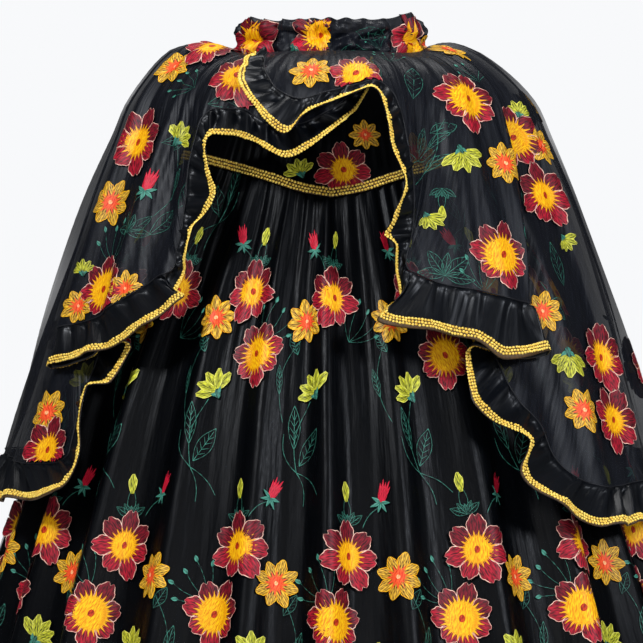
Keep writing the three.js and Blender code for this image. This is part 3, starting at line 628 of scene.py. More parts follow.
def crossing_lift(hand, waist, along):
    """The right half lies over the left one where they cross in front."""
    share = smooth_between(CROSSING_ENDS_AT - waist, 0, CROSSING_ENDS_AT / 2)
    grown = smooth_between(along, 0, CROSSING_FULL_AT)
    return mix(CROSSING_AT_WAIST, CROSSING_LIFT, grown) * share if hand > 0 else 0 * share


def stations(folds, columns_a_station):
    """The fold table read at every station, evenly by the rows' steps."""
    keyed = {**folds, "place": np.concatenate([[0], np.cumsum(folds["steps"])[:-1]])}
    end = keyed["place"][-1]
    at = np.linspace(0, end, int(round(end * columns_a_station)) + 1)
    return {**{name: read(keyed, "place", name, at) for name in folds}, "place": at, "end": end}


def wave(place, length, end):
    """Folds along the overskirt, counted from the centre back so that the halves' folds meet there."""
    return np.cos(2 * np.pi * (end - place) / length + np.pi / 2)


def hanging_folds(hand, az, along):
    """How far the overskirt's soft folds stand out. The azimuth is from the centre front, either way."""
    turn = np.radians(hand * az)
    wander = waves(turn, [*FOLD_WANDER, (0.35, 5, along / 85)])
    broad = np.cos(BROAD_FOLDS * turn + wander) + 0.35 * np.cos(OFFBEAT_FOLDS * turn + 2 * wander)
    fine = np.cos(FINE_FOLDS * turn + 2.4 * wander) * (0.75 + waves(turn, [(0.25, 17, 0)]))
    broad_depth, fine_depth = (read(HANGING_FOLDS, "along", name, along) for name in ("broad", "fine"))
    return broad * broad_depth + fine * fine_depth


# --- Waistband, yoke and skirt ------------------------------------------------------------------------
def ruching(az, place, count, wander):
    """Creases round the waistband, between -1 and 1. place turns and bends them from row to row."""
    turn = np.radians(az)
    phase = count * turn + wander * waves(turn, [(0.5, 3, place), (0.4, 5, 1)])
    return np.cos(phase) * (0.8 + waves(turn, [(0.2, 7, place)]))


def waistband_grid(rows=34, columns=1200):
    az = np.arange(columns)[None, :] * FULL_TURN / columns
    last = BAND_PROFILE["row"][-1]
    row = np.linspace(0, last, rows)[:, None]
    z, out, depth = (read(BAND_PROFILE, "row", name, row) for name in ("z", "out", "ruching"))
    tucks = depth * ruching(az, row * 0.6, BAND_TUCKS, wander=1)
    creases = CREASE_SHARE * depth * ruching(az, row * 1.3, BAND_CREASES, wander=2.6)
    hairlines = HAIRLINE_SHARE * depth * ruching(az, row * 2.1, BAND_HAIRLINES, wander=5)
    slanted = SLANT_DEPTH * ruching(az, 1.1 + row * 2.4, SLANTED_CREASES, wander=4)
    within = smooth_between(row, 0, 0.7) * smooth_between(last - row, 0, 0.6)
    top = np.clip(1 - row, 0, 1)
    frill = 0
    for peak, rise, spread in FRILL_PEAKS:
        apart = HALF_TURN - np.abs(HALF_TURN - np.abs(az - peak % FULL_TURN))
        frill = frill + rise * np.exp(-((apart / spread) ** 2))
    flutter = FLUTTER_DEPTH * ruching(az, 0.3, FRILL_FLUTTERS, wander=2) * top
    out = out + tucks + creases + hairlines * smooth_between(row, 0, 1) + slanted * within + flutter
    return cloth(around(az, WAIST_WIDE + out, WAIST_DEEP + out, z + top * (frill + flutter)), ring=True)


def half_azimuths(side, columns):
    start = -HALF_TURN / 2 if side < 0 else HALF_TURN / 2
    return start + HALF_TURN * np.linspace(0, 1, columns)[None, :]


def yoke_grid(side, out, rows=22, columns=240):
    az = half_azimuths(side, columns)
    drop = mix(WAIST_SEAM_DROP, yoke_drop(az) - SEAM_GAP / 2, np.linspace(0, 1, rows)[:, None])
    drawn = smooth_between(drop, SEAM_PULL_STARTS, SEAM_PULL_FULL_AT)
    pull = SEAM_PULL_DEPTH * np.cos(np.radians(az) * SEAM_PULLS) * drawn
    return cloth(skirt_point(az, drop, out + pull))


def skirt_grid(side, out, rows=44, columns=400):
    az = half_azimuths(side, columns)
    top = yoke_drop(az) + SEAM_GAP / 2
    # The rows lie closest together near the seam, where the gathers are finest.
    drop = mix(top, SKIRT_LENGTH, np.linspace(0, 1, rows)[:, None] ** 1.25)
    folds = pleat(az) * read(PLEAT_DEPTH, "below", "depth", drop - top) + gathers(az, drop - top)
    return cloth(skirt_point(az, drop, folds + out))


# --- Overskirt halves ---------------------------------------------------------------------------------
def to_centre_back(points, hand):
    """The halves meet at the centre back seam and stop just short of each other."""
    points[:, -1, 0] = hand * CENTRE_BACK_GAP
    return points


def overskirt_grid(hand, folds, rows=46, columns_a_station=8):
    s = stations(folds, columns_a_station)
    share = np.linspace(0, 1, rows)[:, None] ** 1.12
    along = share * s["seam_along"]
    flute = s["flute"] * wave(s["place"], STATIONS_A_FLUTE, s["end"]) * share
    az = mix(s["waist"], s["seam_az"], share**THREAD_BEND)
    lift = crossing_lift(hand, s["waist"], along)
    folded_out = hanging_folds(hand, az, along) * smooth_between(along, 0, FOLDS_FULL_AT)
    out = s["seam_out"] * share**OUT_BEND + flute + folded_out
    return cloth(to_centre_back(drape_point(hand, az, along, out, lift), hand), hand)


def ruffle_grid(hand, folds, panel, rows=15, columns_a_station=8):
    """The ruffle hangs from the overskirt's last row, and its gathers grow towards the free edge."""
    s = stations(folds, columns_a_station)
    seam = panel["points"][-1]
    lift = crossing_lift(hand, s["waist"], s["edge_along"])
    hang = hanging_folds(hand, s["edge_az"], s["edge_along"])
    edge = drape_point(hand, s["edge_az"], s["edge_along"], s["edge_out"] + hang, lift)
    edge[-1, 0] = seam[-1, 0]
    fall = edge - seam
    start = seam + fall / np.linalg.norm(fall, axis=1, keepdims=True) * RUFFLE_GAP
    depth = np.linspace(0, 1, rows)[:, None]
    flat = start[None] + (edge - start)[None] * depth[..., None]
    ripple = s["ripple"] * wave(s["place"], STATIONS_A_RIPPLE, s["end"]) * depth
    run = np.concatenate([[0], np.cumsum(np.linalg.norm(np.diff(seam, axis=0), axis=1))])
    # Narrow pinches with wide flats between them, closest together at the seam.
    pinch_at = run / PINCH_SPACING + PINCH_WANDER * np.sin(run / PINCH_WANDER_OVER)
    pinch = 1 - 2 * np.abs(np.sin(pinch_at)) ** PINCH_SHARPNESS
    tuck_at = run / TUCK_SPACING + TUCK_WANDER * np.sin(run / TUCK_WANDER_OVER)
    tuck = np.cos(tuck_at) * (1 - depth)
    small = (PINCH_DEPTH * pinch + TUCK_DEPTH * tuck) * np.sin(np.pi * depth**0.5)
    points = flat + normals_of(flat, hand) * (ripple + small)[..., None]
    return cloth(to_centre_back(points, hand), hand)


# --- Gold braid ---------------------------------------------------------------------------------------
BEAD_PITCH = 4.2
BEAD_ROWS = 3
BEAD_LONG, BEAD_WIDE, BEAD_HIGH = 1.95, 1.75, 1.7
BEAD_SIDES = 6
# Each bead narrows from its foot to a shoulder, given as shares of its width and height, and ends in a point.
BEAD_SHOULDER_WIDE, BEAD_SHOULDER_HIGH = 0.78, 0.7
# How unevenly the beads lie along and across the braid, and how much they differ in size.
BEAD_STRAY_ALONG, BEAD_STRAY_ACROSS, BEAD_UNEVEN = 0.25, 0.02, 0.08


def bead_shape():
    """One bead of unit size: the points of its foot, its shoulder and its tip, and its faces."""
    turn = 2 * np.pi * np.arange(BEAD_SIDES) / BEAD_SIDES
    rings = [
        np.stack([np.cos(turn) * wide, np.sin(turn) * wide, np.full(BEAD_SIDES, high)], -1)
        for wide, high in ((1, 0.0), (BEAD_SHOULDER_WIDE, BEAD_SHOULDER_HIGH))
    ]
    faces = []
    for k in range(BEAD_SIDES):
        following = (k + 1) % BEAD_SIDES
        faces.append([k, following, BEAD_SIDES + following, BEAD_SIDES + k])
    for k in range(BEAD_SIDES):
        faces.append([BEAD_SIDES + k, BEAD_SIDES + (k + 1) % BEAD_SIDES, 2 * BEAD_SIDES])
    return np.concatenate([*rings, [[0, 0, 1.0]]]), faces


def braid_object(name, grid, seed):
    """Gimp braid: three staggered rows of wound beads on a narrow ground. The grid's rows run across it."""
    ground = cloth_object(name + "_ground", grid, GOLD_GROUND_PAINTED_SHADE, thickness=BRAID_THICK)
    length = grid["u"][-1]
    width = np.median(grid["length"])
    count = int(length / BEAD_PITCH)
    rng = np.random.default_rng(seed)
    along = (np.arange(count)[None, :] + 0.5 * (np.arange(BEAD_ROWS)[:, None] % 2)) * BEAD_PITCH
    across = (np.arange(BEAD_ROWS)[:, None] + 0.5) / BEAD_ROWS
    along = (along + rng.normal(0, BEAD_STRAY_ALONG, along.shape)).ravel()
    across = (across + rng.normal(0, BEAD_STRAY_ACROSS, (BEAD_ROWS, count))).ravel()
    keep = along < length - 1
    along, across = along[keep], across[keep]
    middle, normal = on_cloth(grid, along, across * width)
    ahead = on_cloth(grid, np.minimum(along + 1.5, length), across * width)[0]
    behind = on_cloth(grid, along - 1.5, across * width)[0]
    forward = ahead - behind
    forward /= np.maximum(np.linalg.norm(forward, axis=1, keepdims=True), 1e-9)
    bead_axes = np.stack([forward, np.cross(normal, forward), normal], 1)
    sizes = (BEAD_LONG, BEAD_WIDE, BEAD_HIGH)
    size = np.stack([rng.normal(1, BEAD_UNEVEN, len(along)) * one for one in sizes], -1)
    shape, shape_faces = bead_shape()
    points = middle[:, None] + np.einsum("bpk,bkx->bpx", shape[None] * size[:, None], bead_axes)
    firsts = (np.arange(len(along)) * len(shape)).tolist()
    faces = [[v + first for v in face] for first in firsts for face in shape_faces]
    beads = mesh_object(name + "_beads", points.reshape(-1, 3), faces, [GOLD])
    return ground, beads


# --- Embroidery motifs, drawn flat in millimetres -----------------------------------------------------
# How wide the lines of stem stitch are, and how far they and a petal's or leaf's stitches stand up.
RIM_WIDTH, STEM_WIDTH, LEAF_LINE, VEIN_LINE = 0.9, 0.9, 0.75, 0.5
LINE_LIFT, PETAL_LIFT = 0.35, 0.5
# The petals round the larger crimson flowers, in turn: some are stitched in a darker thread.
CRIMSONS = ("wine", "wine", "crimson", "crimson", "crimson", "crimson", "wine")


# A motif is a list of parts. Each part holds its points, the same points along its own stitches, its faces,
# its thread and how far its stitches stand above the cloth.
def patch(rows, thread, lift, dome=0.0):
    """Satin stitch over a grid of points, raised towards its middle."""
    rows = np.asarray(rows, float)
    lines, across = rows.shape[:2]
    middle = 1 - np.linspace(-1, 1, across) ** 2
    lifts = lift + dome * np.broadcast_to(middle, (lines, across))
    faces = grid_faces(lines, across)
    return (rows.reshape(-1, 2), rows.reshape(-1, 2), faces, thread, lifts.ravel())


def turned(parts, x, y, degrees, size=1.0):
    """The same parts, turned clockwise and moved. A size below 0 mirrors them."""
    c, s = np.cos(np.radians(degrees)), np.sin(np.radians(degrees))
    turn = np.array([[math.copysign(1, size)], [1]]) * np.array([[c, -s], [s, c]]) * abs(size)
    return [
        (points @ turn + (x, y), own * size, faces, thread, lifts)
        for points, own, faces, thread, lifts in parts
    ]


def line_of(path, width, thread, lift=LINE_LIFT):
    """A line of stem stitch along a path."""
    path = np.asarray(path, float)
    along = np.gradient(path, axis=0)
    along /= np.maximum(np.linalg.norm(along, axis=1, keepdims=True), 1e-9)
    side = np.stack([-along[:, 1], along[:, 0]], -1) * width / 2
    points, _, faces, _, lifts = patch(np.stack([path + side, path - side], 1), thread, lift)
    run = np.concatenate([[0], np.cumsum(np.linalg.norm(np.diff(path, axis=0), axis=1))])
    own = np.stack([np.tile([width / 2, -width / 2], len(path)), np.repeat(run, 2)], -1)
    return [(points, own, faces, thread, lifts)]


def arc(x0, y0, x1, y1, bend, steps=9):
    """A curved path between two points, bent to one side by a share of its length."""
    t = np.linspace(0, 1, steps)[:, None]
    start, end = np.array([x0, y0]), np.array([x1, y1])
    chord = end - start
    return start + chord * t + np.array([chord[1], -chord[0]]) * bend * np.sin(np.pi * t)


def petal(base, tip, width, thread, notch=0.0, lift=PETAL_LIFT, rows=7, across=7, rim=None):
    """A petal that points along +y from base to tip, round or notched at its end."""
    t = np.linspace(0, 1, rows)[:, None]
    s = np.linspace(-1, 1, across)[None, :]
    # It widens from a narrow base to its widest place, seven tenths along, and narrows a little to its end.
    widens = mix(0.35, 1, np.sin(np.pi / 2 * np.minimum(t / 0.7, 1)))
    half = width * widens * mix(1, 0.78, smooth_between(t, 0.7, 1))
    rounded = 0.26 * np.abs(s) ** 2.2 * t**3
    notched = notch * np.maximum(0, 1 - np.abs(s) * 2.4) * t**6
    grid = np.stack([half * s, base + (tip - base) * t * (1 - rounded - notched)], -1)
    parts = [patch(grid, thread, lift, dome=0.5)]
    if rim:
        edge = np.concatenate([grid[1:, 0], grid[-1, 1:-1], grid[:0:-1, -1]])
        parts += line_of(edge, RIM_WIDTH, rim, lift + 0.3)
    return parts


def leaf(length, width, thread, lift=PETAL_LIFT, rows=7, across=4):
    """A pointed leaf or sepal along +y."""
    t = np.linspace(0, 1, rows)[:, None]
    s = np.linspace(-1, 1, across)[None, :]
    half = width * np.sin(np.pi * t**0.85) ** 0.85
    return [patch(np.stack([half * s, length * t + 0 * s], -1), thread, lift, dome=0.3)]


def spikes(count, inner, longest, shortest, half_angle, thread, lift):
    """Long and short stitches fanning out from a centre."""
    parts = []
    for k in range(count):
        reach = longest if k % 2 else shortest
        middle = mix(inner, reach, 0.5)
        half = middle * math.sin(math.radians(half_angle))
        points = np.array([[0, inner], [half, middle], [0, reach], [-half, middle]], float)
        parts += turned([(points, points, [[0, 1, 2, 3]], thread, np.full(4, lift))], 0, 0, k * 360 / count)
    return parts


def dot(radius, thread, lift, wide=1.0, sides=10):
    """A filled round or oval, in rings about 4 mm apart so that it follows the cloth."""
    rings = max(1, round(radius / 4))
    turn = 2 * np.pi * np.arange(sides) / sides
    circle = np.stack([radius * wide * np.sin(turn), radius * np.cos(turn)], -1)
    points = np.concatenate([[[0, 0]], *(circle * (k + 1) / rings for k in range(rings))])
    faces = [[0, 1 + k, 1 + (k + 1) % sides] for k in range(sides)]
    for ring in range(rings - 1):
        first = 1 + ring * sides
        for k in range(sides):
            following = (k + 1) % sides
            faces.append([first + k, first + sides + k, first + sides + following, first + following])
    return [(points, points, faces, thread, np.full(len(points), lift))]


def flower(petals, base, tip, width, threads, rim, star, heart, notch=0.0, uneven=0.06):
    """Petals of uneven length round a star and its heart. The threads take turns round the petals."""
    parts = []
    for k in range(petals):
        reach = tip * (1 + uneven * math.sin(2.4 * k + 1))
        lift = PETAL_LIFT + 0.12 * (k % 2)
        one = petal(base, reach, width, threads[k % len(threads)], notch, rim=rim, lift=lift)
        parts += turned(one, 0, 0, k * 360 / petals)
    return parts + star + heart


def crimson_flower():
    """Seven notched petals, a yellow star of long and short stitches and a small rust eye."""
    star = spikes(42, inner=8, longest=24, shortest=19, half_angle=5.5, thread="yellow", lift=1.3)
    star += dot(15, "yellow", 1.4, sides=20)
    eye = dot(4.6, "rust", 1.9, wide=0.75)
    return flower(7, 8, 42, 12.6, CRIMSONS, "cream", star, eye, notch=0.14, uneven=0.1)


def yellow_crimson_flower():
    """The same flower with its star reaching further out, so that the crimson is only its tips."""
    star = spikes(50, inner=10, longest=29, shortest=23, half_angle=5, thread="yellow", lift=1.3)
    star += dot(19, "yellow", 1.4, sides=20)
    eye = dot(4.8, "rust", 1.9, wide=0.8)
    return flower(7, 8, 41, 12.8, CRIMSONS, "cream", star, eye, notch=0.14, uneven=0.14)


def amber_flower():
    """Eight open petals in amber line, with a coral star and a peach dot."""
    star = spikes(24, inner=4, longest=16, shortest=11, half_angle=8, thread="coral", lift=1.2)
    star += dot(8, "coral", 1.3, sides=16)
    return flower(8, 5, 29, 7.0, ("amber",), "yellow", star, dot(2.6, "peach", 1.8), uneven=0.05)


def lime_flower():
    """A flower seen from the side: five petals in a fan on a green calyx."""
    parts = []
    for k, degrees in enumerate((-82, -46, -8, 26, 56)):
        one = petal(3, 31, 6.4, "lime", rim="citron", across=4, lift=PETAL_LIFT + 0.15 * (k % 2))
        parts += turned(one, 0, 0, degrees)
    parts += turned(leaf(15, 4.6, "green", lift=1.2), 5, -10, -20)
    for degrees in (-60, 40):
        parts += turned(leaf(12, 2.6, "mint", lift=1.1), 3, -5, degrees)
    return parts


def outlined_leaf(length, width):
    """A leaf drawn in line: its edge in running stitch, a midrib and a few veins."""
    parts = []
    for bend in (width, -width):
        parts += line_of(arc(0, 0, 0, length, bend), LEAF_LINE, "green")
    parts += line_of([[0, 0], [0, length * 0.5], [0, length * 0.9]], VEIN_LINE, "mint")
    for t in (0.2, 0.36, 0.52, 0.66):
        for hand in (-1, 1):
            tip = hand * length * width * 0.75 * math.sin(math.pi * (t + 0.14))
            parts += line_of([[0, length * t], [tip, length * (t + 0.14)]], VEIN_LINE, "green")
    return parts


def leafy_stem():
    """A long bent stem under the lime flower, with a broad leaf, a narrow one and a side shoot."""
    parts = line_of(arc(6, -12, 12, -100, -0.12, 14), STEM_WIDTH, "green")
    for x, y, bend in ((-2, -140, 0.1), (-24, -128, 0.1), (34, -56, 0.14)):
        parts += line_of(arc(12, -100, x, y, bend), LEAF_LINE, "green")
    parts += turned(outlined_leaf(50, 0.2), 10, -92, -26)
    parts += turned(outlined_leaf(54, 0.13), 19, -72, 8)
    return parts


def hanging_vine():
    """A thin curved vine with outlined leaves along it."""
    parts = line_of(arc(0, 60, 6, -60, -0.16, 14), LEAF_LINE, "green")
    parts += turned(outlined_leaf(32, 0.24), 1, 40, 28)
    parts += turned(outlined_leaf(42, 0.14), 20, -22, 12)
    return parts


def leaf_fan():
    """Outlined leaves that spread from one point."""
    parts = line_of(arc(0, 0, 4, -34, 0.12), LEAF_LINE, "green")
    for degrees, length in ((-98, 36), (-52, 40), (-6, 30), (34, 42), (78, 36)):
        parts += turned(outlined_leaf(length, 0.2), 0, 0, degrees)
    return parts


def crimson_bud():
    """A closed bud with ragged petal tips, and sepals curling back below it."""
    parts = petal(0, 20, 7, "scarlet", across=5, lift=0.6)
    for degrees, length in ((-17, 26), (-8, 31), (1, 28), (10, 31), (19, 25)):
        parts += turned(leaf(length, 2.4, "scarlet", lift=0.75), 0, 0, degrees)
    for degrees, length in ((-78, 14), (-128, 15), (180, 13), (128, 15), (78, 14)):
        parts += turned(leaf(length, 2.2, "mint", lift=1.0), 0, 2, degrees)
    parts += line_of(arc(0, -3, -12, -34, 0.12), STEM_WIDTH, "green")
    return parts


def lime_bud():
    """A narrow lime bud on two stalks over a sprout of small leaves."""
    parts = petal(26, 52, 6, "lime", rim="citron", across=4)
    for x, bend in ((-5, -0.12), (5, 0.12)):
        parts += line_of(arc(x * 0.3, 0, x * 0.6, 28, bend), LEAF_LINE, "green")
    for degrees, length in ((-58, 24), (-30, 20), (0, 14), (32, 19), (60, 23)):
        parts += turned(outlined_leaf(length, 0.2), 0, -4, degrees)
    return parts


def seed_spray():
    """Thin stalks that end in seeds."""
    parts = []
    for degrees, length in ((-62, 34), (-40, 44), (-16, 40), (4, 46), (28, 38)):
        stalk = arc(0, 0, 0, length, 0.06 * math.copysign(1, degrees))
        seed = turned(leaf(8, 2.2, "mint", lift=0.7), 0, length - 2, 0)
        parts += turned(line_of(stalk, VEIN_LINE, "green") + seed, 0, 0, degrees)
    return parts


MOTIFS = {
    "crimson": crimson_flower(),
    "yellow": yellow_crimson_flower(),
    "amber": amber_flower(),
    "lime": lime_flower(),
    "stem": leafy_stem(),
    "vine": hanging_vine(),
    "leaf": outlined_leaf(58, 0.2),
    "fan": leaf_fan(),
    "bud": crimson_bud(),
    "buds": lime_bud(),
    "spray": seed_spray(),
}

# Which motifs are stitched over which: the height of a motif's ground, in millimetres.
MOTIF_GROUND = {"crimson": 2.0, "yellow": 0.6, "amber": 0.5, "lime": 0.4, "bud": 0.3}

REPEAT_ACROSS, REPEAT_DOWN = 176, 325
# How much further across each row starts than the one above it.
ROW_SHIFT = 30
# How unevenly the motifs lie: across, down and in degrees.
STRAY = (3, 3, 5)
# Motifs that start higher than this above the seam are cut away with the cloth.
CUT_OFF = -20
# One repeat of the embroidery: the motif, how far across and down it lies from the first flower, its turn and
# size, and how many columns apart it is repeated in the mirrored rows, 1 for every column.
REPEAT = (
    ("crimson", 0, 0, 0, 1.0, 1),
    ("amber", 60, 34, 20, 1.0, 1),
    ("yellow", -29, 82, 25, 1.0, 2),
    ("lime", 34, 128, 46, 0.95, 1),
    ("stem", 34, 128, 0, 1.0, 1),
    ("bud", 44, -64, 22, 1.0, 1),
    ("buds", 0, -42, -4, 0.95, 1),
    ("spray", -38, 58, -24, 1.15, 1),
    ("vine", 72, 112, 0, 0.9, 1),
)


def repeats(grid, first_u, first_v, seed):
    """Every motif of the repeat over a whole cloth, each row mirrored from the last and a little further
    across, with the small unevenness of cloth laid by hand."""
    rng = np.random.default_rng(seed)
    right_of_first = (grid["u"][-1] - first_u) / REPEAT_ACROSS
    below_first = (grid["length"].max() - first_v) / REPEAT_DOWN
    columns = range(math.floor(-first_u / REPEAT_ACROSS) - 2, math.ceil(right_of_first) + 2)
    rows = range(math.floor(-first_v / REPEAT_DOWN) - 1, math.ceil(below_first) + 1)
    # The rows run level round the skirt, though the seam they are measured from does not.
    seam = grid["points"][0, :, 2] - np.interp(first_u, grid["u"], grid["points"][0, :, 2])
    placed = []
    for j in rows:
        mirror = -1 if j % 2 else 1
        for i in columns:
            for motif, across, down, turn, size, every in REPEAT:
                stray_u, stray_v, stray_turn = rng.normal(0, STRAY)
                if mirror < 0 and (i - 1) % every:
                    continue
                u = first_u + i * REPEAT_ACROSS + j * ROW_SHIFT + across * mirror + stray_u
                v = first_v + j * REPEAT_DOWN + down + stray_v + np.interp(u, grid["u"], seam)
                if v > CUT_OFF:
                    placed.append((motif, u, v, turn * mirror + stray_turn, size * mirror))
    return placed


def spot(grid, x, z, within=7):
    """Where on a cloth, u and v, the point is that lies foremost near x and z as seen from the front."""
    points = grid["points"]
    apart = np.hypot(points[..., 0] - x, points[..., 2] - z)
    near = np.where(apart < apart.min() + within, points[..., 1], np.inf)
    j, i = np.unravel_index(np.argmin(near), near.shape)
    return grid["u"][i], grid["share"][j] * grid["length"][i]


# A motif is laid by how the cloth runs for this far either way, and it stretches no more than these allow.
LAYING_REACH = 16.0
LEAST_DOWN, LEAST_ROUND = 0.3, 0.35


def stitched(grid, parts, u, v, turn, size, drawn_in, ground):
    """A flat motif laid on a cloth at u, v. drawn_in is how far the cloth's gathers draw it together."""
    reach = LAYING_REACH
    centre_u = min(max(u, reach), grid["u"][-1] - reach)
    centre_v = max(reach, min(v, np.interp(centre_u, grid["u"], grid["length"]) - reach))
    around_u = centre_u + np.array([-reach, reach, 0, 0])
    around_v = centre_v + np.array([0, 0, -reach, reach])
    corners = on_cloth(grid, around_u, around_v)[0]
    round_it = (corners[1] - corners[0]) / (2 * reach)
    down_it = (corners[3] - corners[2]) / (2 * reach)
    stretch = max(np.linalg.norm(down_it), LEAST_DOWN)
    up = -down_it / max(np.linalg.norm(down_it), 1e-6)
    outward = np.cross(down_it, round_it) * grid["hand"]
    right = np.cross(up, outward)
    right /= max(np.linalg.norm(right), 1e-9)
    level = float(round_it @ right)
    level = math.copysign(max(abs(level), LEAST_ROUND), level)
    made = []
    for points, own, faces, thread, lifts in turned(parts, 0, 0, turn, size):
        du = points[:, 0] / level * min(abs(level), 1) ** drawn_in
        dv = (du * float(round_it @ up) - points[:, 1]) / stretch
        at_u, at_v = u + du, v + dv
        length = np.interp(at_u, grid["u"], grid["length"])
        off = (at_u < 0) | (at_u > grid["u"][-1]) | (at_v < 0) | (at_v > length)
        kept = [face for face in faces if not off[face].any()]
        if kept:
            place, normal = on_cloth(grid, at_u, at_v)
            made.append((place + normal * (lifts[:, None] + ground), own, kept, thread))
    return made


def embroidery(name, grid, placed, drawn_in=0.0):
    """All of one cloth's embroidery as one piece, with a material for each thread."""
    points, own, faces, which = [], [], [], []
    count = 0
    for motif, u, v, turn, size in placed:
        laid = stitched(grid, MOTIFS[motif], u, v, turn, size, drawn_in, MOTIF_GROUND.get(motif, 0))
        for place, flat, kept, thread in laid:
            points.append(place)
            own.append(flat)
            faces += [[k + count for k in face] for face in kept]
            which += [THREAD_NAMES.index(thread)] * len(kept)
            count += len(place)
    threads = list(THREADS.values())
    return mesh_object(name, np.concatenate(points), faces, threads, np.concatenate(own), which)


# --- Making the pieces --------------------------------------------------------------------------------
# How much organza lies together in each piece: 1 is the overskirt as it hangs in front.
BAND_FULLNESS, YOKE_FULLNESS, SKIRT_FULLNESS = 1.4, 0.8, 0.6
# The skirt is about this much wider than it is deep, where azimuths are read back from it.
WIDE_OVER_DEEP = 1.15


def finish_piece(piece, slot, *nodes):
    if nodes:
        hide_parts(*nodes)


def organza_object(name, grid, material, fullness, *nodes, thickness=0.0):
    """A piece of organza. fullness is one number for it all, or one for each point."""
    piece = cloth_object(name, grid, material, thickness)
    layer = piece.data.attributes.new("fullness", "FLOAT", "POINT")
    values = np.broadcast_to(fullness, grid["points"].shape[:2])
    layer.data.foreach_set("value", values.astype(np.float32).ravel())
    finish_piece(piece, "organza", *nodes)
    return piece


def sew_embroidery(name, grid, placed, drawn_in=0.0):
    piece = embroidery(name, grid, placed, drawn_in)
    finish_piece(piece, "organza")
    return piece


def azimuth_of(points):
    return np.degrees(np.arctan2(points[..., 0] / WIDE_OVER_DEEP, -points[..., 1]))


def spotted(grid, motifs):
    """Motifs listed by their place seen from the front, with the place on the cloth that each falls on."""
    return [(motif, *spot(grid, x, z), turn, size) for motif, x, z, turn, size in motifs]


# Each motif on the waistband: its azimuth, the share of the way down the band, its turn and its size.
WAISTBAND_MOTIFS = (
    ("crimson", -60, 0.5, 20, 1.0),
    ("leaf", -40, 0.95, -70, 0.6),
    ("bud", -26, 0.75, 30, 0.6),
    ("yellow", -7, 0.45, -12, 0.95),
    ("leaf", 4, 0.92, 80, 0.7),
    ("leaf", 18, 0.35, 100, 0.7),
    ("spray", 34, 0.8, 10, 0.55),
    ("yellow", 62, 0.6, 40, 0.9),
    ("amber", 84, 0.6, 0, 0.8),
    ("crimson", 118, 0.5, 10, 0.8),
    ("leaf", 150, 0.6, 60, 0.6),
    ("yellow", 176, 0.45, 0, 0.8),
    ("amber", -150, 0.55, 0, 0.8),
    ("crimson", -112, 0.5, 30, 0.8),
)


def make_waistband():
    grid = waistband_grid()
    band = organza_object("waistband_cloth", grid, ORGANZA, BAND_FULLNESS, "waistband", thickness=BAND_THICK)
    points = grid["points"]
    azimuths = azimuth_of(points[len(points) // 2])
    placed = []
    for motif, az, share, turn, size in WAISTBAND_MOTIFS:
        i = int(np.argmin(np.abs(azimuths - az)))
        placed.append((motif, grid["u"][i], share * grid["length"][i], turn, size))
    flowers = sew_embroidery("waistband_embroidery", grid, placed)


# Each motif on a front: its place seen from the front, across and up from the waist, its turn and its size.
YOKE_MOTIFS = (
    ("crimson", 24, -178, -6, 0.9),
    ("lime", -40, -178, -10, 0.7),
    ("amber", 50, -130, 0, 0.7),
    ("leaf", -70, -120, 40, 0.8),
    ("amber", 110, -150, 0, 0.9),
)


# Where the repeat's first flower lies: seen from the front, or round the cloth and down it.
SKIRT_FRONT_FIRST = (28, -646)
SKIRT_BACK_FIRST, YOKE_BACK_FIRST = (700, 470), (90, 60)


def make_yoke(half, side):
    satin = cloth_object(f"yoke_{half}_satin", yoke_grid(side, YOKE_SATIN_OUT), SATIN, SATIN_THICK)
    finish_piece(satin, "satin", f"yoke_{half}")
    grid = yoke_grid(side, YOKE_ORGANZA_OUT)
    cover = organza_object(f"yoke_{half}_organza", grid, LINED_ORGANZA, YOKE_FULLNESS)
    placed = spotted(grid, YOKE_MOTIFS) if side < 0 else repeats(grid, *YOKE_BACK_FIRST, seed=31)
    flowers = sew_embroidery(f"yoke_{half}_embroidery", grid, placed)


def make_skirt(half, side):
    lining = skirt_grid(side, SKIRT_SATIN_OUT)
    satin = cloth_object(f"skirt_{half}_satin", lining, SATIN, SATIN_THICK)
    finish_piece(satin, "satin", f"skirt_{half}")
    grid = skirt_grid(side, SKIRT_ORGANZA_OUT)
    cover = organza_object(f"skirt_{half}_organza", grid, LINED_ORGANZA, SKIRT_FULLNESS)
    first = spot(grid, *SKIRT_FRONT_FIRST) if side < 0 else SKIRT_BACK_FIRST
    placed = repeats(grid, *first, seed=7 - side)
    flowers = sew_embroidery(f"skirt_{half}_embroidery", grid, placed, drawn_in=0.5)
    seams = []
    for end in (0, -1):
        path = lining["points"][:, end]
        seams.append(cord_object(f"skirt_{half}_seam{len(seams)}", path, SIDE_SEAM_RADIUS, BLACK_THREAD))
        finish_piece(seams[-1], "satin")


def make_yoke_braid():
    az = np.linspace(-HALF_TURN, HALF_TURN, 721)[None, :]
    across = np.linspace(-0.5, 0.5, 5)[:, None]
    grid = cloth(skirt_point(az, yoke_drop(az) + across * YOKE_BRAID_WIDTH, YOKE_BRAID_OUT))
    ground, beads = braid_object("yoke_braid", grid, seed=3)
    finish_piece(ground, "braid", "yoke_braid")
    finish_piece(beads, "braid")


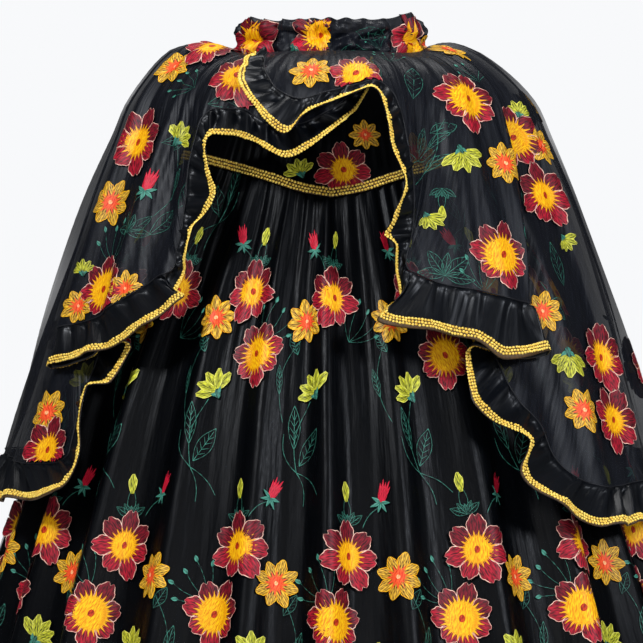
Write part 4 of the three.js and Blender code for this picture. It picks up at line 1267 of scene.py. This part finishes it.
RIGHT_MOTIFS = (
    ("yellow", 174, -88, 20, 1.05),
    ("yellow", 236, -142, 50, 1.05),
    ("crimson", 276, -214, -10, 1.05),
    ("yellow", 216, -288, 10, 1.05),
    ("crimson", 345, -412, 0, 1.05),
    ("crimson", 358, -488, 20, 1.05),
    ("amber", 222, -176, 0, 0.95),
    ("amber", 150, -14, 0, 0.9),
    ("amber", 276, -150, 30, 0.9),
    ("amber", 316, -486, 10, 0.95),
    ("amber", 268, -362, 0, 0.9),
    ("lime", 168, -164, 168, 0.95),
    ("lime", 124, -240, 150, 0.6),
    ("lime", 244, -108, 30, 0.6),
    ("lime", 292, -404, 176, 0.95),
    ("lime", 300, -270, 150, 0.6),
    ("leaf", 108, -94, 8, 1.0),
    ("leaf", 262, -156, 30, 0.8),
    ("leaf", 300, -330, -20, 1.0),
    ("stem", 150, -106, 40, 0.8),
    ("spray", 190, -62, 20, 0.9),
    ("spray", 190, -340, 0, 1.0),
    ("fan", 142, -312, 0, 1.0),
    ("vine", 250, -310, 0, 1.0),
    ("amber", -26, -55, 0, 0.95),
    ("yellow", 28, -60, 30, 0.9),
    ("leaf", 62, -70, 20, 0.8),
    ("spray", 74, -40, 20, 0.7),
    ("vine", 112, -160, 20, 0.9),
    ("leaf", 246, -226, 40, 0.9),
    ("buds", 128, -204, 170, 0.8),
    ("fan", 262, -346, 160, 0.8),
)
LEFT_MOTIFS = (
    ("amber", -206, -42, 10, 1.0),
    ("crimson", -158, -14, 20, 1.0),
    ("crimson", -118, -60, -20, 1.05),
    ("crimson", -248, -148, 10, 1.1),
    ("amber", -284, -216, 20, 1.05),
    ("yellow", -290, -334, 0, 1.0),
    ("amber", -322, -350, 10, 0.8),
    ("amber", -362, -484, 0, 1.0),
    ("crimson", -356, -528, 30, 1.0),
    ("bud", -226, -206, 20, 1.0),
    ("lime", -196, -140, 60, 0.8),
    ("lime", -318, -306, 0, 0.55),
    ("leaf", -160, -96, 60, 0.9),
    ("leaf", -214, -148, 80, 0.7),
    ("leaf", -230, -258, 60, 0.9),
    ("leaf", -192, -226, 40, 0.8),
    ("spray", -282, -300, 10, 1.1),
    ("spray", -172, -70, -50, 0.8),
    ("vine", -214, -190, 20, 0.9),
    ("fan", -262, -262, 30, 0.8),
    ("amber", -262, -330, 0, 0.8),
)


# Where the overskirt hangs as one clear layer: the half, how far round from the front, the height, how far
# each patch goes round and down, and how clear it is.
CLEAR_PATCHES = (
    (1, 87, -120, 8, 65, 0.9),
    (1, 87, -420, 5, 90, 0.3),
    (-1, 87, -344, 7, 65, 0.8),
    (-1, 86, -72, 6, 30, 0.7),
)
# How much fuller the cloth is round the back than in front, and where it becomes so.
BACK_FULLNESS, BACK_STARTS, BACK_FULL_AT = 0.7, 92, 108


def fullness_of(points, hand):
    """Fuller round the back, where the cloth is gathered closer, and thin where a clear patch lies."""
    az = np.abs(azimuth_of(points))
    fullness = 1 + BACK_FULLNESS * smooth_between(az, BACK_STARTS, BACK_FULL_AT)
    for half, middle, height, round_it, down_it, clear in CLEAR_PATCHES:
        if half == hand:
            apart = ((az - middle) / round_it) ** 2 + ((points[..., 2] - height) / down_it) ** 2
            fullness = fullness * (1 - clear * np.exp(-apart))
    return fullness


# Round the back, the cloth's own repeat goes on from where the placed motifs end. Its first flower lies this
# far from the centre back and down the cloth, and it starts at this share of the way round and this far down.
BEHIND_FIRST = (70, 150)
BEHIND_STARTS, BEHIND_BELOW = 0.62, 90


def make_overskirt(name, hand, folds, motifs):
    grid = overskirt_grid(hand, folds)
    fullness = fullness_of(grid["points"], hand)
    panel = organza_object(f"overskirt_{name}_organza", grid, ORGANZA, fullness, f"overskirt_{name}")
    end = grid["u"][-1]
    behind = [
        (motif, u, v, turn, size)
        for motif, u, v, turn, size in repeats(grid, end - BEHIND_FIRST[0], BEHIND_FIRST[1], seed=5 + hand)
        if u > end * BEHIND_STARTS and v > BEHIND_BELOW
    ]
    flowers = sew_embroidery(f"overskirt_{name}_embroidery", grid, spotted(grid, motifs) + behind)
    seam = cord_object(f"overskirt_{name}_seam", grid["points"][-1], RUFFLE_SEAM_RADIUS, BLACK_THREAD)
    finish_piece(seam, "satin")
    return panel, grid


def make_ruffle(name, hand, folds, panel_grid):
    grid = ruffle_grid(hand, folds, panel_grid)
    ruffle = cloth_object(f"ruffle_{name}_satin", grid, RUFFLE_SATIN, RUFFLE_THICK)
    finish_piece(ruffle, "satin", f"ruffle_{name}")
    return ruffle, grid


def make_ruffle_braid(name, hand, ruffle_cloth):
    """The braid lies over the ruffle's free edge and follows its gathers."""
    first = int(BRAID_STARTS * (len(ruffle_cloth["points"]) - 1))
    out = ruffle_cloth["normals"][first:] * (BRAID_LIFT + BRAID_THICK)
    grid = cloth(ruffle_cloth["points"][first:] + out, hand)
    ground, beads = braid_object(f"braid_{name}", grid, seed=11 + hand)
    finish_piece(ground, "braid", f"braid_{name}")
    finish_piece(beads, "braid")


# --- Camera, light and floor -----------------------------------------------------------------------------
# The camera stands level, in metres, and looks along +Y.
CAMERA_AT = (-0.0125, -3.2, -0.3716)
SENSOR_WIDTH, FOCAL_LENGTH = 36, 135.7
# Each soft box: its place and what it points at, in metres, its width, its power in watts and its colour.
LIGHTS = (
    ("key", (-1.5, -2.4, 1.9), (0, 0, -0.35), 0.6, 108, "#f4f8ff"),
    ("fill", (2.4, -2.2, 0.9), (0, 0, -0.4), 0.8, 72, "#eef4ff"),
    ("front", (0.5, -3.6, 0.1), (0, 0, -0.35), 1.2, 22, "#ffffff"),
    ("top", (0.2, 0.4, 2.2), (0, 0, -0.3), 1.2, 30, "#ffffff"),
)
# The walls' brightness as they are seen, and as they light the cloth.
WALLS_SEEN, WALLS_LIGHT = 1.0, 0.12
FLOOR_RADIUS, FLOOR_BELOW_HEM, FLOOR_CORNERS = 1350, 8, 96


def set_camera():
    data = bpy.data.cameras.new("camera")
    data.sensor_width = SENSOR_WIDTH
    data.lens = FOCAL_LENGTH
    camera = bpy.data.objects.new("camera", data)
    camera.location = CAMERA_AT
    camera.rotation_euler = (math.radians(90), 0, 0)
    bpy.context.scene.collection.objects.link(camera)
    bpy.context.scene.camera = camera


def add_light(name, place, aim, size, power, colour):
    data = bpy.data.lights.new(name, "AREA")
    data.shape = "DISK"
    data.size = size
    data.energy = power
    data.color = linear(colour)[:3]
    light = bpy.data.objects.new(name, data)
    light.location = place
    light.rotation_euler = (Vector(aim) - Vector(place)).to_track_quat("-Z", "Y").to_euler()
    bpy.context.scene.collection.objects.link(light)


def make_floor():
    """A round floor in pale matt paint, faintly mottled by its roller."""
    paint, tree, shader = new_material("pale_matt_floor", Roughness=0.9)
    mottle = add_node(tree, "TexNoise", {"Scale": 3.0}).outputs["Fac"]
    between = {0: mottle, 6: linear("#eceef0"), 7: linear("#f6f7f9")}
    feed(shader, {"Base Color": add_node(tree, "Mix", between, data_type="RGBA").outputs[2]})
    az = np.arange(FLOOR_CORNERS) * FULL_TURN / FLOOR_CORNERS
    rim = around(az, FLOOR_RADIUS, FLOOR_RADIUS, -SKIRT_LENGTH - FLOOR_BELOW_HEM)
    data = bpy.data.meshes.new("floor")
    data.from_pydata((rim * MM).tolist(), [], [list(range(FLOOR_CORNERS))])
    data.materials.append(paint)
    floor = bpy.data.objects.new("floor", data)
    bpy.context.scene.collection.objects.link(floor)


def set_studio():
    """A pale room: the world is its far walls, and soft boxes light the cloth from both sides and above."""
    scene = bpy.context.scene
    scene.view_settings.view_transform = "Standard"
    world = bpy.data.worlds.new("pale_studio")
    world.use_nodes = True
    tree = world.node_tree
    walls = tree.nodes["Background"]
    walls.inputs["Color"].default_value = linear("#f8f9fb")
    seen = add_node(tree, "LightPath").outputs["Is Camera Ray"]
    brightness = {"Value": seen, "To Min": WALLS_LIGHT, "To Max": WALLS_SEEN}
    feed(walls, {"Strength": add_node(tree, "MapRange", brightness, clamp=False).outputs["Result"]})
    scene.world = world
    for light in LIGHTS:
        add_light(*light)
    make_floor()


set_camera()
set_studio()
make_waistband()
for half, side in (("front", -1), ("back", 1)):
    make_yoke(half, side)
    make_skirt(half, side)
make_yoke_braid()
# Each half of the overskirt: its name, which side it hangs, its folds and motifs, its area, and its ruffle's
# flat size and area.
for name, hand, folds, motifs, area, ruffle_flat, ruffle_area in (
    ("right", 1, RIGHT_FOLDS, RIGHT_MOTIFS, 0.54, (2.1, 0.06), 0.115),
    ("left", -1, LEFT_FOLDS, LEFT_MOTIFS, 0.49, (1.9, 0.06), 0.1),
):
    panel, panel_grid = make_overskirt(name, hand, folds, motifs)
    ruffle, ruffle_cloth = make_ruffle(name, hand, folds, panel_grid)
    make_ruffle_braid(name, hand, ruffle_cloth)
